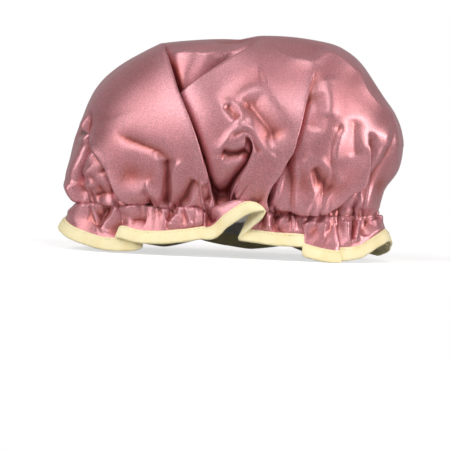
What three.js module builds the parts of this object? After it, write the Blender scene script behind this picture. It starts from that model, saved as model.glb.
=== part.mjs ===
// A bouffant shower cap. A satin outer and a waterproof film liner are gathered together onto
// one elastic, which lies in a folded casing on the inside. Below the gathers the two layers
// flare into a ruffle, and a folded tape binds its edge. Two rows of stitching and the tack on
// the elastic's lap hold it together.
// Millimetres, +Z up. The cap stands on its hem at z = 0 with its front towards -Y, as it looks
// when it is set down with its crown plumped up.

import * as THREE from "three";

// Sizes of the whole cap
const MOUTH_WIDTH = 222; // outside of the gathers, side to side
const MOUTH_DEPTH = 98; // outside of the gathers, front to back
const MOUTH_POWER = 2.25; // superellipse power of the mouth's plan
const CROWN_RISE = 131; // from the gathers to the top of the crown
const RUFFLE_DROP = 35; // from the gathers to the surface that the hem stands on
const RUFFLE_FLARE = 7; // how far the hem's tucks stand out past the gathers
const SCALLOP_DEPTH = 8; // how far the hem's scallops stand out past its tucks

// Cloth, film, tape and thread
const SATIN_WALL = 0.5;
const FILM_WALL = 0.3;
const TAPE_WALL = 0.5;
const BINDING_WIDTH = 9.5; // from the binding's top edge to the cut edges of the layers
const BINDING_FOLD = 1.6; // thickness of the binding's folded bottom edge
const ELASTIC_WIDTH = 6;
const ELASTIC_WALL = 0.9;
const ELASTIC_LAP = 14; // how far the elastic's ends overlap at the centre of the back
const CASING_WALL = 0.3;
const CASING_FLANGE = 2.4; // height of the casing's two edges, which the stitching catches
const THREAD = 0.5; // diameter of the sewing thread
const STITCH_INSET = 2; // from the binding's top edge down to its row of stitching
const CLEARANCE = 0.3; // between neighbouring layers
const HEM_FLAT = 0.9; // depth of the flats where the hem bears on the surface below

// Gathers and folds
const HEM_SETTLING = 1.3; // above 1, the scallops' lowest parts run level
const GATHERS = 30; // round the mouth, each one crest out and one crest in
const GATHER_DEPTH = 1.1; // half the height of a gather at the stitching
const GATHER_REACH = 0.4; // share of the ruffle above the binding that is still gathered
const FOLD_DEPTH = 9; // how far a full fold tucks in the cloth on its under side
const FOLD_LIP = 3.2; // how far the cloth on a fold's over side stands proud
const FOLD_RECOVERY = 15; // degrees over which the cloth beside a fold swells out again
const FOLD_START = 0.1; // share of the way up over which a fold comes in or goes out
const POUCH_HEIGHT = 0.08; // share of the way up at which the pouches hang
const POUCH_REACH = 0.07; // share of the way up that they spread over
const POUCH_SWELL = 10; // how far a full pouch swells out
const POUCH_SAG = 3.5; // how far a full pouch sags

// The crown's four outlines from the gathers to its top. Each point gives its reach as a share
// of half the mouth and its height as a share of the crown's rise.
const OUTLINES = {
  left: [[1, 0], [1.08, 0.04], [1.13, 0.12], [1.07, 0.37], [1.03, 0.52], [0.94, 0.66], [0.77, 0.8],
    [0.52, 0.92], [0.25, 0.98], [0, 1]],
  right: [[1, 0], [1.01, 0.07], [1.06, 0.15], [1.16, 0.37], [1.16, 0.48], [1.11, 0.61], [0.99, 0.76],
    [0.74, 0.95], [0.25, 1], [0, 1]],
  front: [[1, 0], [1.12, 0.08], [1.4, 0.22], [1.54, 0.43], [1.5, 0.56], [1.35, 0.68], [1.12, 0.79],
    [0.82, 0.9], [0.43, 0.97], [0, 1]],
  back: [[1, 0], [1.18, 0.08], [1.42, 0.23], [1.54, 0.44], [1.49, 0.57], [1.36, 0.69], [1.13, 0.8],
    [0.83, 0.9], [0.45, 0.97], [0, 1]],
};

// The crown's main folds. Angles are in degrees round the mouth: 0 is the right end, 90 the
// back, 180 the left end and 270 the front. A fold's edge runs from its foot at the gathers to
// its head at the top, and a bend above 1 keeps most of its turn for the head. The cloth on its
// under side (+1 for larger angles) is tucked in by a share of the full depth, and on its over
// side it stands proud. A fold shows between two shares of the way up.
const FOLDS = [
  { foot: 263, head: 201, bend: 2, depth: 0.5, under: 1, from: 0, to: 0.9 },
  { foot: 193, head: 290, bend: 1, depth: 1.3, under: -1, from: 0.5, to: 0.98 },
  { foot: 279, head: 330, bend: 2, depth: 0.6, under: 1, from: 0, to: 0.8 },
  { foot: 310, head: 341, bend: 0.5, depth: 0.55, under: 1, from: 0, to: 0.5 },
  { foot: 240, head: 61, bend: 1.3, depth: 1, under: -1, from: 0, to: 0.5 },
  { foot: 355, head: 368, bend: 1, depth: 0.8, under: 1, from: 0, to: 0.5 },
  { foot: 26, head: 26, bend: 1, depth: 0.65, under: -1, from: 0, to: 0.6 },
  { foot: 61, head: 62, bend: 1, depth: 0.65, under: -1, from: 0, to: 0.75 },
  { foot: 90, head: 69, bend: 1, depth: 0.9, under: 1, from: 0, to: 0.9 },
  { foot: 121, head: 100, bend: 1, depth: 1, under: -1, from: 0, to: 0.9 },
  { foot: 134, head: 142, bend: 1, depth: 0.95, under: 1, from: 0, to: 0.45 },
  { foot: 166, head: 185, bend: 1, depth: 0.65, under: -1, from: 0, to: 0.6 },
  { foot: 194, head: 196, bend: 1, depth: 0.75, under: 1, from: 0, to: 0.3 },
];

// Pouches of the crown that hang over the gathers: the angle of each, the degrees that it
// spreads over and how full it is.
const POUCHES = [
  { at: 236, spread: 12, full: 0.4 },
  { at: 296, spread: 15, full: 1 },
  { at: 336, spread: 9, full: 0.65 },
];

// The ruffle's scallops. Each starts at a tuck: its angle, the tuck's height above the surface
// below, and the height of the scallop's lowest point, both as shares of the ruffle's drop.
// Those at 0 bear on the surface.
const SCALLOPS = [
  { at: 3, tuck: 0.43, low: 0.14 },
  { at: 33, tuck: 0.34, low: 0 },
  { at: 64, tuck: 0.31, low: 0.14 },
  { at: 98, tuck: 0.4, low: 0.11 },
  { at: 128, tuck: 0.29, low: 0 },
  { at: 157, tuck: 0.37, low: 0.2 },
  { at: 184, tuck: 0.49, low: 0 },
  { at: 231, tuck: 0.34, low: 0.23 },
  { at: 274, tuck: 0.51, low: 0.29 },
  { at: 299, tuck: 0.31, low: 0 },
];

const COLUMNS = 2 * GATHERS;
const CROWN_ROWS = [0.08, 0.2, 0.34, 0.49, 0.65, 0.82]; // shares of the way to the top
const FULL_TURN = 360;
const STACK = SATIN_WALL + CLEARANCE + FILM_WALL; // both layers of the cap together

// Small helpers

const radians = THREE.MathUtils.degToRad;
const smooth = THREE.MathUtils.smoothstep;
const lerp = THREE.MathUtils.lerp;
const UPRIGHT = new THREE.Vector3(0, 0, 1);
const columnAngle = (column) => (column * FULL_TURN) / COLUMNS;
const wrapped = (degrees) => THREE.MathUtils.euclideanModulo(degrees + 180, FULL_TURN) - 180;
const signedPower = (value, power) => Math.sign(value) * Math.abs(value) ** power;

// A copy of a point moved along some directions, given as [direction, distance] pairs.
function moved(point, ...steps) {
  const result = point.clone();
  for (const [direction, distance] of steps) result.addScaledVector(direction, distance);
  return result;
}

// The cap's surface: the outside face of the satin

// Directions of the mouth's plan at an angle, as shares of its half width and half depth.
function planDirection(degrees) {
  const angle = radians(degrees);
  const power = 2 / MOUTH_POWER;
  return new THREE.Vector2(
    signedPower(Math.cos(angle), power),
    signedPower(Math.sin(angle), power),
  );
}

// Outward direction of the mouth's plan at an angle.
function planNormal(degrees) {
  const share = planDirection(degrees);
  const power = MOUTH_POWER - 1;
  return new THREE.Vector3(
    signedPower(share.x, power) / MOUTH_WIDTH,
    signedPower(share.y, power) / MOUTH_DEPTH,
    0,
  ).normalize();
}

function mouthPoint(degrees) {
  const share = planDirection(degrees);
  return new THREE.Vector3(
    (share.x * MOUTH_WIDTH) / 2,
    (share.y * MOUTH_DEPTH) / 2,
    RUFFLE_DROP,
  );
}

// One outline of the crown as a curve of reach (x) and height above the gathers (y).
function outlineCurve(outline, mouth) {
  const points = outline.map(
    ([reach, height]) => new THREE.Vector2((reach * mouth) / 2, height * CROWN_RISE),
  );
  return new THREE.SplineCurve(points);
}

const CURVES = {
  left: outlineCurve(OUTLINES.left, MOUTH_WIDTH),
  right: outlineCurve(OUTLINES.right, MOUTH_WIDTH),
  front: outlineCurve(OUTLINES.front, MOUTH_DEPTH),
  back: outlineCurve(OUTLINES.back, MOUTH_DEPTH),
};

// How far the main folds draw the crown in at an angle and a share of the way up.
function foldDepth(degrees, share) {
  let depth = 0;
  for (const fold of FOLDS) {
    const shown = smooth(share, fold.from, fold.from + FOLD_START);
    const fade = shown * (1 - smooth(share, fold.to - 2 * FOLD_START, fold.to));
    const crease = fold.foot + (fold.head - fold.foot) * share ** fold.bend;
    const beside = wrapped(degrees - crease) * fold.under;
    const tuck = beside >= 0 ? fold.depth * FOLD_DEPTH : -FOLD_LIP;
    depth += fade * tuck * Math.exp(-Math.abs(beside) / FOLD_RECOVERY);
  }
  return depth;
}

// How full the pouches are at an angle and a share of the way up.
function pouchFill(degrees, share) {
  const level = Math.exp(-(((share - POUCH_HEIGHT) / POUCH_REACH) ** 2));
  let fill = 0;
  for (const pouch of POUCHES) {
    fill += pouch.full * Math.exp(-((wrapped(degrees - pouch.at) / pouch.spread) ** 2));
  }
  return fill * level;
}

// A point of the crown: the side outline gives its x, the front or back outline its y.
function crownPoint(degrees, share) {
  const angle = radians(degrees);
  const plan = planDirection(degrees);
  const side = (plan.x < 0 ? CURVES.left : CURVES.right).getPointAt(share);
  const face = (plan.y < 0 ? CURVES.front : CURVES.back).getPointAt(share);
  const height = lerp(face.y, side.y, Math.cos(angle) ** 2);
  const point = new THREE.Vector3(plan.x * side.x, plan.y * face.x, RUFFLE_DROP + height);
  const inwards = new THREE.Vector3(-plan.x, -plan.y, 0).normalize();
  const fill = pouchFill(degrees, share);
  const draw = foldDepth(degrees, share) - fill * POUCH_SWELL;
  return moved(point, [inwards, draw], [UPRIGHT, -fill * POUCH_SAG]);
}

// The scallop that an angle falls in, and how far across it the angle is.
function scallopAt(degrees) {
  const turned = THREE.MathUtils.euclideanModulo(degrees - SCALLOPS[0].at, FULL_TURN);
  const offsets = SCALLOPS.map((scallop) => scallop.at - SCALLOPS[0].at);
  const index = offsets.findLastIndex((offset) => offset <= turned);
  const next = SCALLOPS[(index + 1) % SCALLOPS.length];
  const end = index + 1 < offsets.length ? offsets[index + 1] : FULL_TURN;
  const across = (turned - offsets[index]) / (end - offsets[index]);
  return { scallop: SCALLOPS[index], next, across };
}

// The edge of the ruffle's cloth, which stops short of the binding's folded bottom edge.
function hemPoint(degrees) {
  const { scallop, next, across } = scallopAt(degrees);
  const swell = Math.sin(Math.PI * across);
  const out = RUFFLE_FLARE + SCALLOP_DEPTH * swell;
  const settled = Math.min(HEM_SETTLING * swell, 1);
  const share = lerp(lerp(scallop.tuck, next.tuck, across), scallop.low, settled);
  const point = moved(mouthPoint(degrees), [planNormal(degrees), out]);
  return point.setZ(share * RUFFLE_DROP + BINDING_FOLD + CLEARANCE - HEM_FLAT);
}

// Rows of the ruffle, from the hem to just below the gathers, at one angle.
function rufflePoints(degrees) {
  const hem = hemPoint(degrees);
  const mouth = mouthPoint(degrees);
  const up = mouth.clone().sub(hem);
  const length = up.length();
  up.normalize();
  const gathered = lerp(length, BINDING_WIDTH, GATHER_REACH);
  return [0, BINDING_WIDTH, gathered].map((height) => moved(hem, [up, height]));
}

// Every row of the cap's surface at one column, from the hem upwards. The row at the stitching
// and the rows next to it rise and fall with the gathers.
function columnPoints(column) {
  const degrees = columnAngle(column);
  const points = [
    ...rufflePoints(degrees),
    mouthPoint(degrees),
    ...CROWN_ROWS.map((share) => crownPoint(degrees, share)),
  ];
  const crest = column % 2 ? -GATHER_DEPTH : GATHER_DEPTH;
  for (const row of [MOUTH_ROW - 1, MOUTH_ROW, MOUTH_ROW + 1]) {
    points[row].addScaledVector(planNormal(degrees), crest);
  }
  return points;
}

const HEM_ROW = 0;
const BINDING_ROW = 1;
const MOUTH_ROW = 3;
const SURFACE = Array.from({ length: COLUMNS }, (_, column) => columnPoints(column));
const TOP = new THREE.Vector3(0, 0, RUFFLE_DROP + CROWN_RISE);
const ROWS = SURFACE[0].length;

// Outward direction of the surface at a column and row, from its neighbours.
function surfaceNormal(column, row) {
  const before = SURFACE[(column + COLUMNS - 1) % COLUMNS][row];
  const after = SURFACE[(column + 1) % COLUMNS][row];
  const below = SURFACE[column][Math.max(row - 1, 0)];
  const above = row + 1 < ROWS ? SURFACE[column][row + 1] : TOP;
  const along = after.clone().sub(before);
  return along.cross(above.clone().sub(below)).normalize();
}

const NORMALS = SURFACE.map((points, column) => points.map((_, row) => surfaceNormal(column, row)));

// Direction from the hem up the ruffle at a column.
const upRuffle = (column) =>
  SURFACE[column][BINDING_ROW].clone().sub(SURFACE[column][HEM_ROW]).normalize();

// Solids from the surface

function solidGeometry(points, triangles) {
  const geometry = new THREE.BufferGeometry().setFromPoints(points);
  geometry.setIndex(triangles);
  geometry.computeVertexNormals();
  return geometry;
}

const quad = (a, b, c, d) => [a, b, c, a, c, d];

// A layer of the cap between two depths below the satin's outside face, open at the hem's edge
// only as far as the layer is thick.
function layerGeometry(outerDepth, innerDepth) {
  const points = [];
  for (const depth of [outerDepth, innerDepth]) {
    SURFACE.forEach((column, c) =>
      column.forEach((point, r) => points.push(moved(point, [NORMALS[c][r], -depth]))),
    );
    points.push(moved(TOP, [UPRIGHT, -depth]));
  }
  const inside = COLUMNS * ROWS + 1;
  const at = (column, row) => (column % COLUMNS) * ROWS + row;
  const top = COLUMNS * ROWS;
  const triangles = [];
  for (let c = 0; c < COLUMNS; c++) {
    for (let r = 0; r + 1 < ROWS; r++) {
      const corners = [at(c, r), at(c + 1, r), at(c + 1, r + 1), at(c, r + 1)];
      const [a, b, d, e] = corners.map((corner) => corner + inside);
      triangles.push(...quad(...corners), a, d, b, a, e, d);
    }
    const last = ROWS - 1;
    triangles.push(at(c, last), at(c + 1, last), top);
    triangles.push(at(c + 1, last) + inside, at(c, last) + inside, top + inside);
    triangles.push(...quad(at(c, 0) + inside, at(c + 1, 0) + inside, at(c + 1, 0), at(c, 0)));
  }
  return solidGeometry(points, triangles);
}

// A solid through a row of sections, each a ring of points that runs up the outer side and
// down the inner side. A closed row joins its last section to its first. Each four-sided face
// is split along the diagonal that climbs with the columns, as the layers' faces are.
function sectionGeometry(sections, closed) {
  const size = sections[0].length;
  const spans = closed ? sections.length : sections.length - 1;
  const at = (section, corner) => (section % sections.length) * size + (corner % size);
  const triangles = [];
  for (let s = 0; s < spans; s++) {
    for (let k = 0; k < size; k++) {
      const corners = [at(s, k), at(s + 1, k), at(s + 1, k + 1), at(s, k + 1)];
      const climbs = sections[s][(k + 1) % size].z > sections[s][k].z;
      if (!climbs) corners.push(corners.shift());
      triangles.push(...quad(...corners));
    }
  }
  for (let k = 1; !closed && k + 1 < size; k++) {
    triangles.push(at(0, 0), at(0, k), at(0, k + 1));
    triangles.push(at(spans, 0), at(spans, k + 1), at(spans, k));
  }
  return solidGeometry(sections.flat(), triangles);
}

const everyColumn = (section) => Array.from({ length: COLUMNS }, (_, column) => section(column));

// The binding folds round both layers at the hem, and is flat where it bears on the surface.
function bindingSection(column) {
  const hem = SURFACE[column][HEM_ROW];
  const top = SURFACE[column][BINDING_ROW];
  const hemOut = NORMALS[column][HEM_ROW];
  const topOut = NORMALS[column][BINDING_ROW];
  const up = upRuffle(column);
  const slotOut = CLEARANCE;
  const slotIn = -STACK - CLEARANCE;
  const faceOut = slotOut + TAPE_WALL;
  const faceIn = slotIn - TAPE_WALL;
  const underside = -CLEARANCE - BINDING_FOLD;
  const section = [
    moved(hem, [hemOut, faceOut], [up, underside]),
    moved(top, [topOut, faceOut]),
    moved(top, [topOut, slotOut]),
    moved(hem, [hemOut, slotOut], [up, -CLEARANCE]),
    moved(hem, [hemOut, slotIn], [up, -CLEARANCE]),
    moved(top, [topOut, slotIn]),
    moved(top, [topOut, faceIn]),
    moved(hem, [hemOut, faceIn], [up, underside]),
  ];
  section.forEach((point) => point.setZ(Math.max(point.z, 0)));
  return section;
}

// A thread that lies on the face below it: a square section round a line along the columns.
function threadSection(line, out, up) {
  const half = THREAD / 2;
  return [
    moved(line, [up, -half]),
    moved(line, [out, half]),
    moved(line, [up, half]),
    moved(line, [out, -half]),
  ];
}

function gatherStitchSection(column) {
  const out = NORMALS[column][MOUTH_ROW];
  const line = moved(SURFACE[column][MOUTH_ROW], [out, CLEARANCE + THREAD / 2]);
  return threadSection(line, out, UPRIGHT);
}

function bindingStitchSection(column) {
  const out = NORMALS[column][BINDING_ROW];
  const up = upRuffle(column);
  const lift = CLEARANCE + TAPE_WALL + CLEARANCE + THREAD;
  const line = moved(SURFACE[column][BINDING_ROW], [out, lift], [up, -STITCH_INSET]);
  return threadSection(line, out, up);
}

// The casing and the elastic lie inside the innermost crests of the gathers. A depth is measured
// inwards from those crests of the liner, and a height upwards from the stitching.
const LAP_STEP = ELASTIC_WALL + CLEARANCE;
const POCKET = 2 * LAP_STEP + THREAD + 2 * CLEARANCE;
const CREST_DEPTH = GATHER_DEPTH + STACK + CLEARANCE;
const CASING_TOP = CASING_FLANGE / 2;
const POCKET_TOP = -CASING_FLANGE / 2;
const POCKET_BOTTOM = POCKET_TOP - ELASTIC_WIDTH - 2 * CLEARANCE;
const CASING_BOTTOM = POCKET_BOTTOM - CASING_WALL;

function innerPoint(degrees, depth, height) {
  const inwards = planNormal(degrees).negate();
  return moved(mouthPoint(degrees), [inwards, CREST_DEPTH + depth], [UPRIGHT, height]);
}

// A strip folded up round the elastic, whose two edges meet at the row of stitching.
function casingSection(column) {
  const outer = CASING_WALL;
  const edge = CASING_WALL + CLEARANCE;
  const inner = CASING_WALL + POCKET;
  const corners = [
    [0, CASING_BOTTOM],
    [0, CASING_TOP],
    [outer, CASING_TOP],
    [outer, POCKET_BOTTOM],
    [inner, POCKET_BOTTOM],
    [inner, POCKET_TOP],
    [edge, CASING_TOP],
    [edge + CASING_WALL, CASING_TOP],
    [inner + CASING_WALL, POCKET_TOP],
    [inner + CASING_WALL, CASING_BOTTOM],
  ];
  return corners.map(([depth, height]) => innerPoint(columnAngle(column), depth, height));
}

// The elastic runs once round and laps over its own start at the centre of the back.
const BACK = 90;
const LAP_TURN = (FULL_TURN * ELASTIC_LAP) / (Math.PI * MOUTH_WIDTH);
const ELASTIC_FACE = CASING_WALL + CLEARANCE; // depth of the elastic's outer face
const ELASTIC_FOOT = POCKET_BOTTOM + CLEARANCE;

function elasticSections() {
  const start = BACK - LAP_TURN / 2;
  const turn = FULL_TURN + LAP_TURN;
  const rampStart = FULL_TURN - 3 * LAP_TURN;
  const rampEnd = FULL_TURN - LAP_TURN;
  const steps = COLUMNS + 2;
  return Array.from({ length: steps + 1 }, (_, step) => {
    const along = (turn * step) / steps;
    const face = ELASTIC_FACE + LAP_STEP * smooth(along, rampStart, rampEnd);
    const corner = (depth, height) => innerPoint(start + along, face + depth, height);
    return [
      corner(0, ELASTIC_FOOT),
      corner(0, ELASTIC_FOOT + ELASTIC_WIDTH),
      corner(ELASTIC_WALL, ELASTIC_FOOT + ELASTIC_WIDTH),
      corner(ELASTIC_WALL, ELASTIC_FOOT),
    ];
  });
}

// The tack is a zigzag of thread on the inner face of the lap.
const TACK_TURNS = 6;

function tackGeometry() {
  const depth = ELASTIC_FACE + 2 * LAP_STEP + THREAD / 2;
  const points = Array.from({ length: TACK_TURNS + 1 }, (_, turn) => {
    const degrees = BACK + LAP_TURN * (turn / TACK_TURNS - 0.5) * 0.7;
    const height = ELASTIC_FOOT + ELASTIC_WIDTH * (turn % 2 ? 0.8 : 0.2);
    return innerPoint(degrees, depth, height);
  });
  const path = new THREE.CatmullRomCurve3(points, false, "catmullrom", 0.2);
  const section = new THREE.Shape(
    new THREE.Path().absarc(0, 0, THREAD / 2, 0, 2 * Math.PI).getPoints(3).slice(0, -1),
  );
  const steps = 4 * TACK_TURNS;
  return new THREE.ExtrudeGeometry(section, { steps, bevelEnabled: false, extrudePath: path });
}

// Materials and assembly

const cloth = (color, roughness) =>
  new THREE.MeshStandardMaterial({ color, roughness, metalness: 0 });
const satin = cloth(0xc0787f, 0.32);
const film = cloth(0xf0eeec, 0.3);
const tape = cloth(0xf6f0c8, 0.6);
const knit = cloth(0xf4f1ea, 0.85);
const roseThread = cloth(0xcf8f94, 0.5);
const creamThread = cloth(0xf3ecc4, 0.5);

const cap = new THREE.Group();

function addPiece(name, geometry, material) {
  const piece = new THREE.Mesh(geometry, material);
  piece.name = name;
  cap.add(piece);
}

addPiece("satin_outer", layerGeometry(0, SATIN_WALL), satin);
addPiece("waterproof_liner", layerGeometry(SATIN_WALL + CLEARANCE, STACK), film);
addPiece("hem_binding", sectionGeometry(everyColumn(bindingSection), true), tape);
addPiece("elastic_casing", sectionGeometry(everyColumn(casingSection), true), film);
addPiece("elastic_band", sectionGeometry(elasticSections(), false), knit);
addPiece("elastic_lap_tack", tackGeometry(), creamThread);
addPiece("gather_stitch", sectionGeometry(everyColumn(gatherStitchSection), true), roseThread);
addPiece("binding_stitch", sectionGeometry(everyColumn(bindingStitchSection), true), creamThread);

export default cap;
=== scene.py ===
"""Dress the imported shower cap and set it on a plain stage.

The cap is a satin crown and ruffle over a film liner, gathered onto an elastic in a casing,
with a folded binding along the hem and rows of stitching. Builders work in millimetres in the
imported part's frame (+Z up, front towards -Y), and meshes are written in metres.
"""

from __future__ import annotations

import logging
import math
from collections.abc import Callable
from dataclasses import dataclass, field
from enum import Enum
from functools import partial
from typing import Protocol

import bmesh
import bpy
import numpy as np
from mathutils import Matrix, Vector

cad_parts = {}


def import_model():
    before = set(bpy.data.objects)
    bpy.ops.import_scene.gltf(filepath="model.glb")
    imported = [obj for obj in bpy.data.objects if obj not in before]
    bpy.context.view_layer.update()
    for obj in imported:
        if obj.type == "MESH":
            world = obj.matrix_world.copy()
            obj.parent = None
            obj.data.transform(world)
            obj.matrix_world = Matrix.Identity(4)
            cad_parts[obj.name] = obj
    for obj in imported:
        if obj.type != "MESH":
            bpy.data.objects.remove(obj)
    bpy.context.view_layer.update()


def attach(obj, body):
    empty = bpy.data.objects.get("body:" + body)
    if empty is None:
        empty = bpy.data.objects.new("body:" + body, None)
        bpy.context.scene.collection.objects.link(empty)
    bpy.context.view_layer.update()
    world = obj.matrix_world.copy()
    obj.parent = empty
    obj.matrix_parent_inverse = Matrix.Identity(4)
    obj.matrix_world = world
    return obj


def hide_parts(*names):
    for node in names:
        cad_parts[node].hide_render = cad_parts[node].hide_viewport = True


LOG = logging.getLogger("shower_cap")
METRES = 0.001
BODY = "root"

Pair = tuple[float, float]
Triple = tuple[float, float, float]


# Curves and weights


def smoothstep(low: float, high: float, value: np.ndarray) -> np.ndarray:
    """Ease from 0 at low to 1 at high.

    Args:
        low: Value at which the weight is 0; it may be above high.
        high: Value at which the weight is 1.
        value: Values to weigh.

    Returns:
        Weights from 0 to 1.
    """
    share = np.clip((value - low) / (high - low), 0.0, 1.0)
    return share * share * (3.0 - 2.0 * share)


def hermite(
    share: np.ndarray, start: np.ndarray, end: np.ndarray, leave: np.ndarray, arrive: np.ndarray
) -> np.ndarray:
    """Blend from one value to the next with given slopes.

    Args:
        share: Shares of the way from start to end.
        start: Values at the start.
        end: Values at the end.
        leave: Slopes at the start.
        arrive: Slopes at the end.

    Returns:
        Blended values.
    """
    square = share**2
    cube = share**3
    return (
        (2 * cube - 3 * square + 1) * start
        + (cube - 2 * square + share) * leave
        + (3 * square - 2 * cube) * end
        + (cube - square) * arrive
    )


def spline(points: np.ndarray, per_span: int = 24) -> np.ndarray:
    """Draw a smooth open curve through points.

    Args:
        points: Points of any dimension, one per row.
        per_span: Samples between neighbouring points.

    Returns:
        Dense points along the curve, both ends included.
    """
    ends = np.vstack([2 * points[0] - points[1], points, 2 * points[-1] - points[-2]])
    share = np.linspace(0.0, 1.0, per_span, endpoint=False)[:, None]
    spans = [
        hermite(share, start, end, (end - before) / 2, (after - start) / 2)
        for before, start, end, after in zip(ends[:-3], ends[1:-2], ends[2:-1], ends[3:])
    ]
    return np.vstack([*spans, points[-1:]])


def lengths_along(curve: np.ndarray) -> np.ndarray:
    """Measure the distance from a curve's start to each of its points.

    Args:
        curve: Points of the curve, one per row.

    Returns:
        One distance per point.
    """
    steps = np.linalg.norm(np.diff(curve, axis=0), axis=1)
    return np.concatenate([[0.0], np.cumsum(steps)])


def at_shares(curve: np.ndarray, shares: np.ndarray) -> np.ndarray:
    """Sample a curve at shares of its length.

    Args:
        curve: Dense points of the curve, one per row.
        shares: Shares from 0 to 1.

    Returns:
        One point per share.
    """
    along = lengths_along(curve)
    wanted = shares * along[-1]
    return np.stack([np.interp(wanted, along, axis) for axis in curve.T], axis=1)


def signed_power(value: np.ndarray, power: float) -> np.ndarray:
    """Raise the size of each value to a power and keep its sign."""
    return np.sign(value) * np.abs(value) ** power


def unit(vectors: np.ndarray) -> np.ndarray:
    """Give vectors along the last axis the length 1; one of no length stays so."""
    return vectors / np.maximum(np.linalg.norm(vectors, axis=-1, keepdims=True), 1e-9)


# The cap's form


@dataclass(frozen=True)
class MouthPlan:
    """The gathered mouth seen from above, a superellipse.

    Attributes:
        width: Outside of the gathers, side to side.
        depth: Outside of the gathers, front to back.
        power: Power of the superellipse.
        height: Height of the stitching above the surface that the hem stands on.
        front_gain: How much closer columns stand at the front than at the ends.
        dense_gain: How much closer they stand near the angles that need it.
        dense_width: Degrees that this reaches.
    """

    width: float = 222.0
    depth: float = 98.0
    power: float = 2.25
    height: float = 35.0
    front_gain: float = 0.6
    dense_gain: float = 1.4
    dense_width: float = 7.0

    def share(self, angle: np.ndarray) -> np.ndarray:
        """Give places on the plan as shares of its half width and half depth.

        Args:
            angle: Angles in radians; 0 is the right end and a quarter turn is the back.

        Returns:
            One pair per angle.
        """
        power = 2.0 / self.power
        return np.stack(
            [signed_power(np.cos(angle), power), signed_power(np.sin(angle), power)], axis=-1
        )

    def normal(self, angle: np.ndarray) -> np.ndarray:
        """Give the outward directions of the plan.

        Args:
            angle: Angles in radians.

        Returns:
            One level unit vector per angle.
        """
        flat = signed_power(self.share(angle), self.power - 1) / np.array([self.width, self.depth])
        return np.concatenate([unit(flat), np.zeros_like(flat[..., :1])], axis=-1)

    def point(self, angle: np.ndarray) -> np.ndarray:
        """Give points on the stitching.

        Args:
            angle: Angles in radians.

        Returns:
            One point per angle.
        """
        flat = self.share(angle) * np.array([self.width, self.depth]) / 2
        level = np.full_like(flat[..., :1], self.height)
        return np.concatenate([flat, level], axis=-1)

    def columns(self, count: int, dense: tuple[float, ...]) -> np.ndarray:
        """Spread columns round the mouth, closer together at the front and near some angles.

        Args:
            count: Number of columns.
            dense: Angles in degrees where the columns stand closer.

        Returns:
            Rising angles in radians, from 0 to just under a full turn.
        """
        angle = np.linspace(0.0, 2 * np.pi, 7201)
        steps = np.linalg.norm(np.diff(self.point(angle), axis=0), axis=1)
        middle = np.degrees((angle[:-1] + angle[1:]) / 2)
        weight = 1.0 - self.front_gain * np.sin(np.radians(middle))
        for place in dense:
            weight += self.dense_gain * np.exp(-(((middle - place) / self.dense_width) ** 2))
        along = np.concatenate([[0.0], np.cumsum(steps * weight)])
        wanted = np.linspace(0.0, along[-1], count, endpoint=False)
        return np.interp(wanted, along, angle)


@dataclass(frozen=True)
class CrownBase:
    """The plumped crown before its folds: four outlines blended round the mouth.

    Each outline lists reach from the axis and height, from the stitching to the top.

    Attributes:
        mouth: Plan of the mouth.
        left: Outline at the left end.
        right: Outline at the right end.
        front: Outline at the front.
        back: Outline at the back.
    """

    mouth: MouthPlan
    left: tuple[Pair, ...] = (
        (111, 35), (120, 40), (125, 51), (123, 66), (119, 84), (114.5, 98), (110, 112), (101, 127),
        (89, 138.5), (75, 148), (60, 156.5), (53, 159), (27, 162.5), (0, 164.5),
    )
    right: tuple[Pair, ...] = (
        (111, 35), (112, 44), (116, 55), (123.5, 69), (128, 84), (127, 98), (121, 113), (108.5, 132),
        (95, 149.5), (85, 157.5), (72, 163), (47, 166.7), (21, 167), (0, 164.5),
    )
    front: tuple[Pair, ...] = (
        (49, 35), (51, 39), (55, 45), (61, 53), (68, 64), (73, 77), (75, 91), (73, 108), (66, 124),
        (55, 139), (40, 153), (21, 161.5), (0, 164.5),
    )
    back: tuple[Pair, ...] = (
        (49, 35), (51, 39), (55, 45), (61, 54), (68, 65), (73, 78), (74.5, 92), (72, 109), (65, 125),
        (54, 140), (39, 153), (21, 161.5), (0, 164.5),
    )

    def surface(self, angle: np.ndarray, shares: np.ndarray) -> np.ndarray:
        """Sample the crown.

        Args:
            angle: Column angles in radians.
            shares: Shares of the way from the top, 0, to the stitching, 1.

        Returns:
            Points by row and column.
        """
        share = self.mouth.share(angle)
        outlines = (self.left, self.right, self.front, self.back)
        at_left, at_right, at_front, at_back = (
            at_shares(spline(np.array(line, dtype=float)), 1.0 - shares)[:, None, :] for line in outlines
        )
        side = np.where((share[:, 0] < 0)[None, :, None], at_left, at_right)
        face = np.where((share[:, 1] < 0)[None, :, None], at_front, at_back)
        lean = (np.cos(angle) ** 2)[None, :]
        return np.stack(
            [
                share[None, :, 0] * side[..., 0],
                share[None, :, 1] * face[..., 0],
                face[..., 1] * (1 - lean) + side[..., 1] * lean,
            ],
            axis=-1,
        )


# Folds

# Depths past the cap's middle, and heights, over which the folds drawn in an elevation fade in.
SIDE_FADE = (-12.0, 8.0)
TOP_FADE = (120.0, 140.0)
# Distances past a line's end, under another fold's edge and beside a hanging edge.
END_FADE = 5.0
TUCK_FADE = 4.0
HANG_FADE = 7.0
# Widths of a fold beyond which its moves are too small to count.
OVERLAP_SPAN = 3.5
CREASE_SPAN = 5.0


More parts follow.
